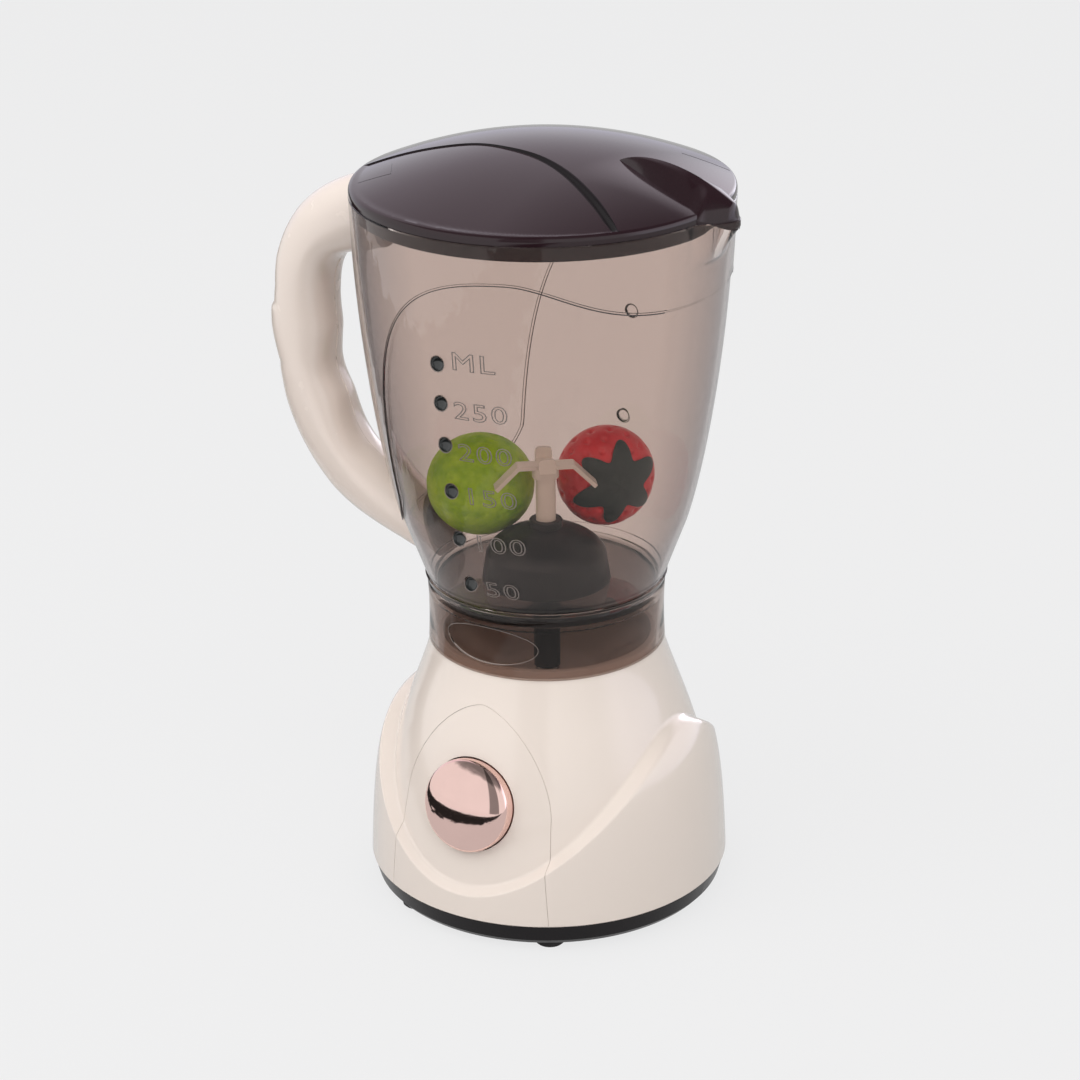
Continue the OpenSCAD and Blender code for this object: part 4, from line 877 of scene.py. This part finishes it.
# Steps across the field: down the step's wall until 1, then over the field
vs = np.concatenate([np.linspace(0, 1, 7), 1 + np.linspace(0, 1, 60)[1:] ** 1.2 * 40])
tool_low, tool_high = [], []
for x, deep, wide in zip(xs, field_depth(xs), wall_w):
    y0 = float(s_line(x))
    for v in vs:
        y = y0 - v * wide if v <= 1 else y0 - wide - (v - 1) * 1.4
        r = math.hypot(x, y)
        fall = sunk(deep, r) * float(smooth(min(v, 1.0), 0, 1))
        tool_low.append((x, y, dome_z(r) - fall + (0.002 if v == 0 else 0)))
        tool_high.append((x, y, dome_z(r) + 2 if r < 70 else dome_z(70)))
m, n = len(xs), len(vs)
faces = grid_faces(m, n) + grid_faces(m, n, base=m * n)
rim_loop = [(i, 0) for i in range(m)] + [(m - 1, j) for j in range(1, n)]
rim_loop += [(i, n - 1) for i in range(m - 2, -1, -1)] + [(0, j) for j in range(n - 2, 0, -1)]
ids = [i * n + j for i, j in rim_loop]
faces += [[a, b, b + m * n, a + m * n] for a, b in zip(ids, ids[1:] + ids[:1])]
boolean(lid, outward(new_object("front_field", tool_low + tool_high, faces)), "DIFFERENCE")

# The hood over the spout: its ridge from the side and its half width from above
COVER_RIDGE = bezier([(24.5, Z_TOP - 2.6), (33, Z_TOP + 2.1), (50, Z_TOP - 1.4),
                      (62.7, Z_DOME + 0.5)])
COVER_PLAN = [(24.5, 0.3), (25.3, 2.7), (26.6, 4.2), (28.1, 5.6), (31.3, 7.6), (34, 9.0),
              (36.9, 10.2), (41.4, 11.0), (46.7, 11.0), (51, 9.9), (53.6, 10.4)]
COVER_REACH = SPOUT_REACH - 0.25


def along(points, n):
    """The length along a line of points, and n points evenly along it."""
    points = np.asarray(points, float)
    path = np.concatenate([[0], np.cumsum(np.linalg.norm(np.diff(points, axis=0), axis=1))])
    even = np.linspace(0, path[-1], n)
    return path, np.stack([np.interp(even, path, points[:, k]) for k in (0, 1)], 1)


def cover():
    """The hood over the spout: pointed at its start, rounded at its tip."""
    plan = list(COVER_PLAN)
    for y in 10.2 * np.cos(np.linspace(0.12, math.pi / 2 - 0.02, 34)):
        push = COVER_REACH * (1 + math.cos(math.pi * y / SPOUT_HALF)) / 2
        plan.append((math.sqrt(RIM_R ** 2 - y * y) + push, y))
    across = np.sin(np.linspace(-1, 1, 57) * math.pi / 2)
    rings = []
    for x, w in along(plan, 90)[1]:
        tip = float(smooth(x, 50, 61))
        edge_z = min(Z_DOME, float(dome_z(math.hypot(x, w)))) - 0.4 - 1.9 * tip
        ridge = max(float(np.interp(x, COVER_RIDGE[:, 0], COVER_RIDGE[:, 1])), edge_z + 0.2)
        end = float(smooth(x, 60.6, RIM_R + COVER_REACH + 0.1))
        rise = (ridge - edge_z) * (1 - end * 0.75)
        p, q = 1.35 + 0.65 * tip, 1.1 - 0.6 * tip
        rings.append([(x, w, Z_RIM + 0.05)]
                     + [(x, -w * u, edge_z + rise * (1 - abs(u) ** p) ** q) for u in across]
                     + [(x, -w, Z_RIM + 0.05)])
    verts = [v for ring in rings for v in ring]
    faces = grid_faces(len(rings), len(rings[0]), False, True)
    return outward(close_holes(new_object("cover", verts, faces)))


boolean(lid, cover(), "UNION")
under = [(0, 0)] + [(float(r), float(dome_z(r)) - LID_WALL) for r in np.linspace(1, 51.7, 30)]
under += [(51.7, Z_RIM - 6), (0, 0)]
boolean(lid, turned("under_dome", under), "DIFFERENCE")
shade(lid, 32)


def lid_normals(ob):
    """Exact normals on both fields of the lid's top, so that their reflections run clean."""
    def field_z(x, y):
        r = math.hypot(x, y)
        return dome_z(r) - sunk(float(field_depth(x)), r)

    me = ob.data
    slope = 2 * LID_DROP / RIM_R ** 2
    found = [Vector(n.vector) for n in me.corner_normals]
    for poly in me.polygons:
        for li in poly.loop_indices:
            x, y, z = me.vertices[me.loops[li].vertex_index].co / MM
            r = math.hypot(x, y)
            if r > 54.2 or z < dome_z(r) - 2.0:
                continue
            if abs(z - dome_z(r)) < 0.02:
                n = Vector((slope * x, slope * y, 1)).normalized()
            elif abs(z - field_z(x, y)) < 0.03:
                n = Vector((field_z(x - 0.1, y) - field_z(x + 0.1, y),
                            field_z(x, y - 0.1) - field_z(x, y + 0.1), 0.2)).normalized()
            else:
                continue
            if poly.normal.dot(n) > 0.985:
                found[li] = n
    me.normals_split_custom_set(found)


def on_step(x, y, z):
    """Whether a point of the lid's top lies on the step's wall."""
    r = math.hypot(x, y)
    return (-57 < x < 45.7 and r < 54.5 and z > dome_z(r) - 2.5
            and 0 < float(s_line(x)) - y < float(np.interp(x, xs, wall_w)))


lid_normals(lid)
piece(lid, "lid", M["lid"], "lid_smoke", "lid")
# The step's wall takes the near-black painted shade
lid.data.materials.append(M["step"])
for poly in lid.data.polygons:
    if on_step(*(poly.center / MM)):
        poly.material_index = 1

# Fine mould lines, a hair above the dome or the sunk field: their corners and how deep they lie
MOULD_LINES = [([(-45.6, -29.3), (-34.1, -26.4), (-39.2, -17.7)], STEP_MIN),
               ([(30.4, 27.1), (43.0, 32.8)], 0.0)]
lines = []
for corners, deep in MOULD_LINES:
    for a, b in zip(corners[:-1], corners[1:]):
        flat = [(1 - t) * np.array(a) + t * np.array(b) for t in np.linspace(0, 1, 24)]
        lifted = [(x, y, dome_z(math.hypot(x, y)) - deep - 0.03) for x, y in flat]
        lines.append(tube("line", lifted, 0.09))
# The mould lines share the step's near-black painted shade
piece(shade(join("mould_lines", lines), 60), "lid", M["step"], "lid_smoke")

# ---- pretend fruit ----
PEBBLES, PEBBLE_WIDTH, DENTS = 7, 2.2, 0.008


def pebbled(name, centre, radii, turn_deg, relief, seed):
    """An oval fruit with a pebbled skin."""
    bm = bmesh.new()
    bmesh.ops.create_icosphere(bm, subdivisions=6, radius=1.0)
    for v in bm.verts:
        d = v.co.normalized()
        cell = noise.voronoi(d * PEBBLES + Vector((seed, seed * 0.7, 0)))[0]
        pits = min(1.0, cell[0] * PEBBLE_WIDTH)
        drift = noise.fractal(d * 2.4 + Vector((seed, 0, 0)), 1.0, 2.0, 3)
        k = 1 - relief * (1 - pits) - DENTS * abs(drift)
        v.co = Vector((d.x * radii[0], d.y * radii[1], d.z * radii[2])) * k * MM
    me = bpy.data.meshes.new(name)
    bm.to_mesh(me)
    bm.free()
    me.transform(Matrix.Translation(Vector(centre) * MM)
                 @ Matrix.Rotation(math.radians(turn_deg), 4, "Z"))
    return shade(add_object(name, me), 80)


lime = pebbled("lime_skin", (-24.6, 3.1, 120.4), (16.5, 15.6, 15.5), 30, 0.025, 3.0)
piece(lime, "lime", M["lime"], "lime_skin", "lime")

BERRY_AT, BERRY_TURN, BERRY_R = (6.7, 25, 121.4), (51, 86), 15.3
PIT_COUNT, PIT_DEPTH, PIT_R = 150, 0.055, 0.8


def berry_place(ob):
    """Moves a part of the strawberry, made upright at the origin, to its place in the jug."""
    spin, lean = (math.radians(a) for a in BERRY_TURN)
    ob.data.transform(Matrix.Translation(Vector(BERRY_AT) * MM) @ Matrix.Rotation(spin, 4, "Z")
                      @ Matrix.Rotation(lean, 4, "X"))
    return ob


berry_top = [(BERRY_R * math.sqrt(max(0, 1 - (1 - s) ** 2.4)), 11 * (1 - s))
             for s in np.linspace(0, 1, 40)]
berry_tip = [(BERRY_R * (1 - s ** 1.9) ** 0.6, -15.5 * s) for s in np.linspace(0, 1, 60)[1:]]
prof = np.array(berry_top + berry_tip)
arc, fine = along(prof, 150)
fine[0, 0] = fine[-1, 0] = 0
golden = math.pi * (3 - math.sqrt(5))
pits = []
for i in range(PIT_COUNT):
    s = (0.10 + 0.88 * (i + 0.5) / PIT_COUNT) * arc[-1]
    r, z = np.interp(s, arc, prof[:, 0]), np.interp(s, arc, prof[:, 1])
    pits.append((r * math.cos(i * golden), r * math.sin(i * golden), z))
cols = 220
th = np.linspace(0, 2 * np.pi, cols, endpoint=False)
v = np.stack([fine[:, 0:1] * np.cos(th), fine[:, 0:1] * np.sin(th),
              np.repeat(fine[:, 1:2], cols, 1)], -1).reshape(-1, 3)
near = np.full(len(v), 9.0)
for pit in np.array(pits):
    near = np.minimum(near, np.linalg.norm((v - pit) * np.array([1, 1, 0.75]), axis=1))
v = v * (1 - PIT_DEPTH * np.exp(-(near / PIT_R) ** 2))[:, None]
berry = new_object("strawberry_flesh", v, grid_faces(len(fine), cols, False, True))
piece(berry_place(shade(outward(berry), 80)), "strawberry", M["berry"], "berry_skin", "strawberry")


def berry_leaves():
    """Six blunt leaves that lie on the crown and lift a little at their tips."""
    rings, cols = 34, 200
    reach_max, notch = 13.3, 5.2
    top = np.array(berry_top)
    verts = []
    for side in (0, 1):
        for i in range(rings):
            s = i / (rings - 1)
            for j in range(cols):
                a = 2 * math.pi * j / cols
                lobe = math.sin(3 * (a - 0.35)) ** 2
                r = (reach_max + 0.6 * math.sin(2 * a + 1) - notch * lobe) * s
                z = float(np.interp(r, top[:, 0], top[:, 1]))
                crease = 0.35 * math.sqrt(lobe) * s
                lift = 0.25 + 0.9 * max(0, s - 0.7) ** 2 * (r / 13) - crease * 0.3
                thick = 0.75 * (1 - 0.6 * s) if side else 0
                verts.append((r * math.cos(a), r * math.sin(a), z + lift + thick))
    f = [face for base in (0, rings * cols) for face in grid_faces(rings, cols, False, True, base)]
    a0, b0 = (rings - 1) * cols, (2 * rings - 1) * cols
    f += [[a0 + j, a0 + (j + 1) % cols, b0 + (j + 1) % cols, b0 + j] for j in range(cols)]
    return shade(outward(new_object("strawberry_leaves", verts, f)), 50)


piece(berry_place(berry_leaves()), "strawberry", M["leaf"], "berry_leaf", "strawberry_crown")

# ---- carried-over CAD nodes ----
NODE_MATS = {
    "steel": ["button_spring", "switch_screws", "base_screws", "battery_door_screw",
              "contact_springs", "contact_plates", "motor_can", "motor_screws", "motor_shaft"],
    "white": ["switch_plunger", "motor_endcap", "drive_dog"],
    "dark": ["switch_bracket", "battery_door"],
    "switch": ["power_switch"], "ring": ["base_plate"], "rubber": ["rubber_feet"],
    "sleeve": ["battery_cells"], "cream": ["motor_bracket"], "hub": ["jug_coupling"],
    "blade": ["blade"], "red": ["wire_switch_feed"], "blue": ["wire_motor_feed"],
    "black": ["wire_return"],
}
for mat, nodes in NODE_MATS.items():
    for node in nodes:
        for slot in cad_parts[node].material_slots:
            slot.material = M[mat]

# ---- studio ----
# The floor glows a little, so that it comes out as pale as the photograph's, and keeps the toy's
# shadow. Mirrored in the toy, it is a pale table with a dark ragged band beyond its edge.
SEEN, GLOW_SHARE, BAND = (0.895, 0.895, 0.899), 0.86, 0.02
bpy.ops.mesh.primitive_circle_add(vertices=96, radius=4.0, fill_type="NGON",
                                  location=(0, 0, FLOOR_Z * MM))
ground = bpy.context.object
ground.name = "studio_floor"
k = Mat("studio_floor")
k.set(Base_Color=grey(0.6), Roughness=0.9, Specular_IOR_Level=0.2)
rays = k.rays()
looked_at = k.math("MAXIMUM", rays["Is Camera Ray"], rays["Is Transmission Ray"])
plain = k.blend(k.math("MULTIPLY", looked_at, GLOW_SHARE), k.b.outputs[0],
                k.shader("ShaderNodeEmission", SEEN))
forward = k.vector("DOT_PRODUCT", k.co, (-1.0, -1.0, 0.0))
table = k.ramp(k.math("MULTIPLY_ADD", k.noise(22, 6, 0.6), 0.34, forward),
               [(0.0, grey(0.62)), (0.43, grey(0.64)), (0.45, grey(BAND)), (0.80, grey(BAND)),
                (0.82, grey(0.88)), (1.0, grey(0.88))])
only_mirrored = k.math("SUBTRACT", rays["Is Glossy Ray"], rays["Is Transmission Ray"], clamp=True)
k.surface(k.blend(only_mirrored, plain, k.shader("ShaderNodeEmission", table)))
ground.data.materials.append(k.m)

# The world: plain and soft for light, pale behind the toy, and a studio in mirror rays
world = bpy.data.worlds.new("studio")
bpy.context.scene.world = world
world.use_nodes = True
w = Tree(world.node_tree, "Generated")
rays, (x, y, z) = w.rays(), w.axes()
# In front, two soft boxes with a gap between them, and a dark ceiling with a ragged edge
boxes = w.ramp(w.math("MULTIPLY_ADD", w.noise(5, 5), 0.3, z),
               [(0.0, grey(0.9)), (0.72, grey(0.9)), (0.85, grey(0.3)), (1.0, grey(0.2))])
gap = w.ramp(w.math("ARCTAN2", x, w.math("MULTIPLY", y, -1.0)),
             [(0.0, grey(1.0)), (0.06, grey(1.0)), (0.09, grey(0.3)), (0.50, grey(0.3)),
              (0.55, grey(1.0)), (1.0, grey(1.0))])
# Behind, a bright wall: brightest low down in the middle, dark high up towards +X
wall = w.ramp(z, [(0.0, (0.85, 0.83, 0.95)), (0.12, (0.95, 0.92, 1.0)),
                  (0.45, (0.84, 0.76, 0.84)), (1.0, (1.0, 0.89, 0.96))])
low_down = w.remap(z, 0.5, 0.66, w.remap(x, 0.0, 0.15, 4.5, 1.8), 0.15)
wall = w.vector("SCALE", wall, w.remap(x, -0.35, 0.0, 1.0, low_down))
behind = w.remap(w.vector("DOT_PRODUCT", w.co, (0.12, 0.993, 0.0)), -0.12, 0.12, 0.0, 1.0)
mirrored = w.shader("ShaderNodeBackground", w.mix(behind, w.vector("MULTIPLY", boxes, gap), wall))
light = w.shader("ShaderNodeBackground",
                 w.ramp(z, [(0.0, grey(0.40)), (0.25, grey(0.46)), (1.0, grey(0.85))]))
backdrop = w.shader("ShaderNodeBackground", (0.862, 0.862, 0.866))
lit = w.blend(rays["Is Glossy Ray"], light, mirrored)
looked_at = w.math("MAXIMUM", rays["Is Camera Ray"], rays["Is Transmission Ray"])
w.feed(w.t.nodes["World Output"].inputs["Surface"], w.blend(looked_at, lit, backdrop))

# Soft lamps that light the toy and aren't mirrored in it: name, place, size and watts
AIM = Vector((0, 0, 0.11))
for name, at, lamp_size, watts in (("key", (-0.75, -0.9, 0.95), (0.7, 1.0), 1.9),
                                   ("fill", (1.35, -0.25, 0.8), (0.5, 1.0), 1.9),
                                   ("top", (0.0, -0.8, 1.3), (2.4, 1.2), 14.5)):
    data = bpy.data.lights.new(name, "AREA")
    data.shape = "RECTANGLE"
    data.size, data.size_y = lamp_size
    data.energy = watts
    lamp = add_object(name, data)
    lamp.location = at
    lamp.rotation_euler = (AIM - Vector(at)).to_track_quat("-Z", "Y").to_euler()
    lamp.visible_glossy = False
bpy.context.scene.view_settings.view_transform = "Standard"
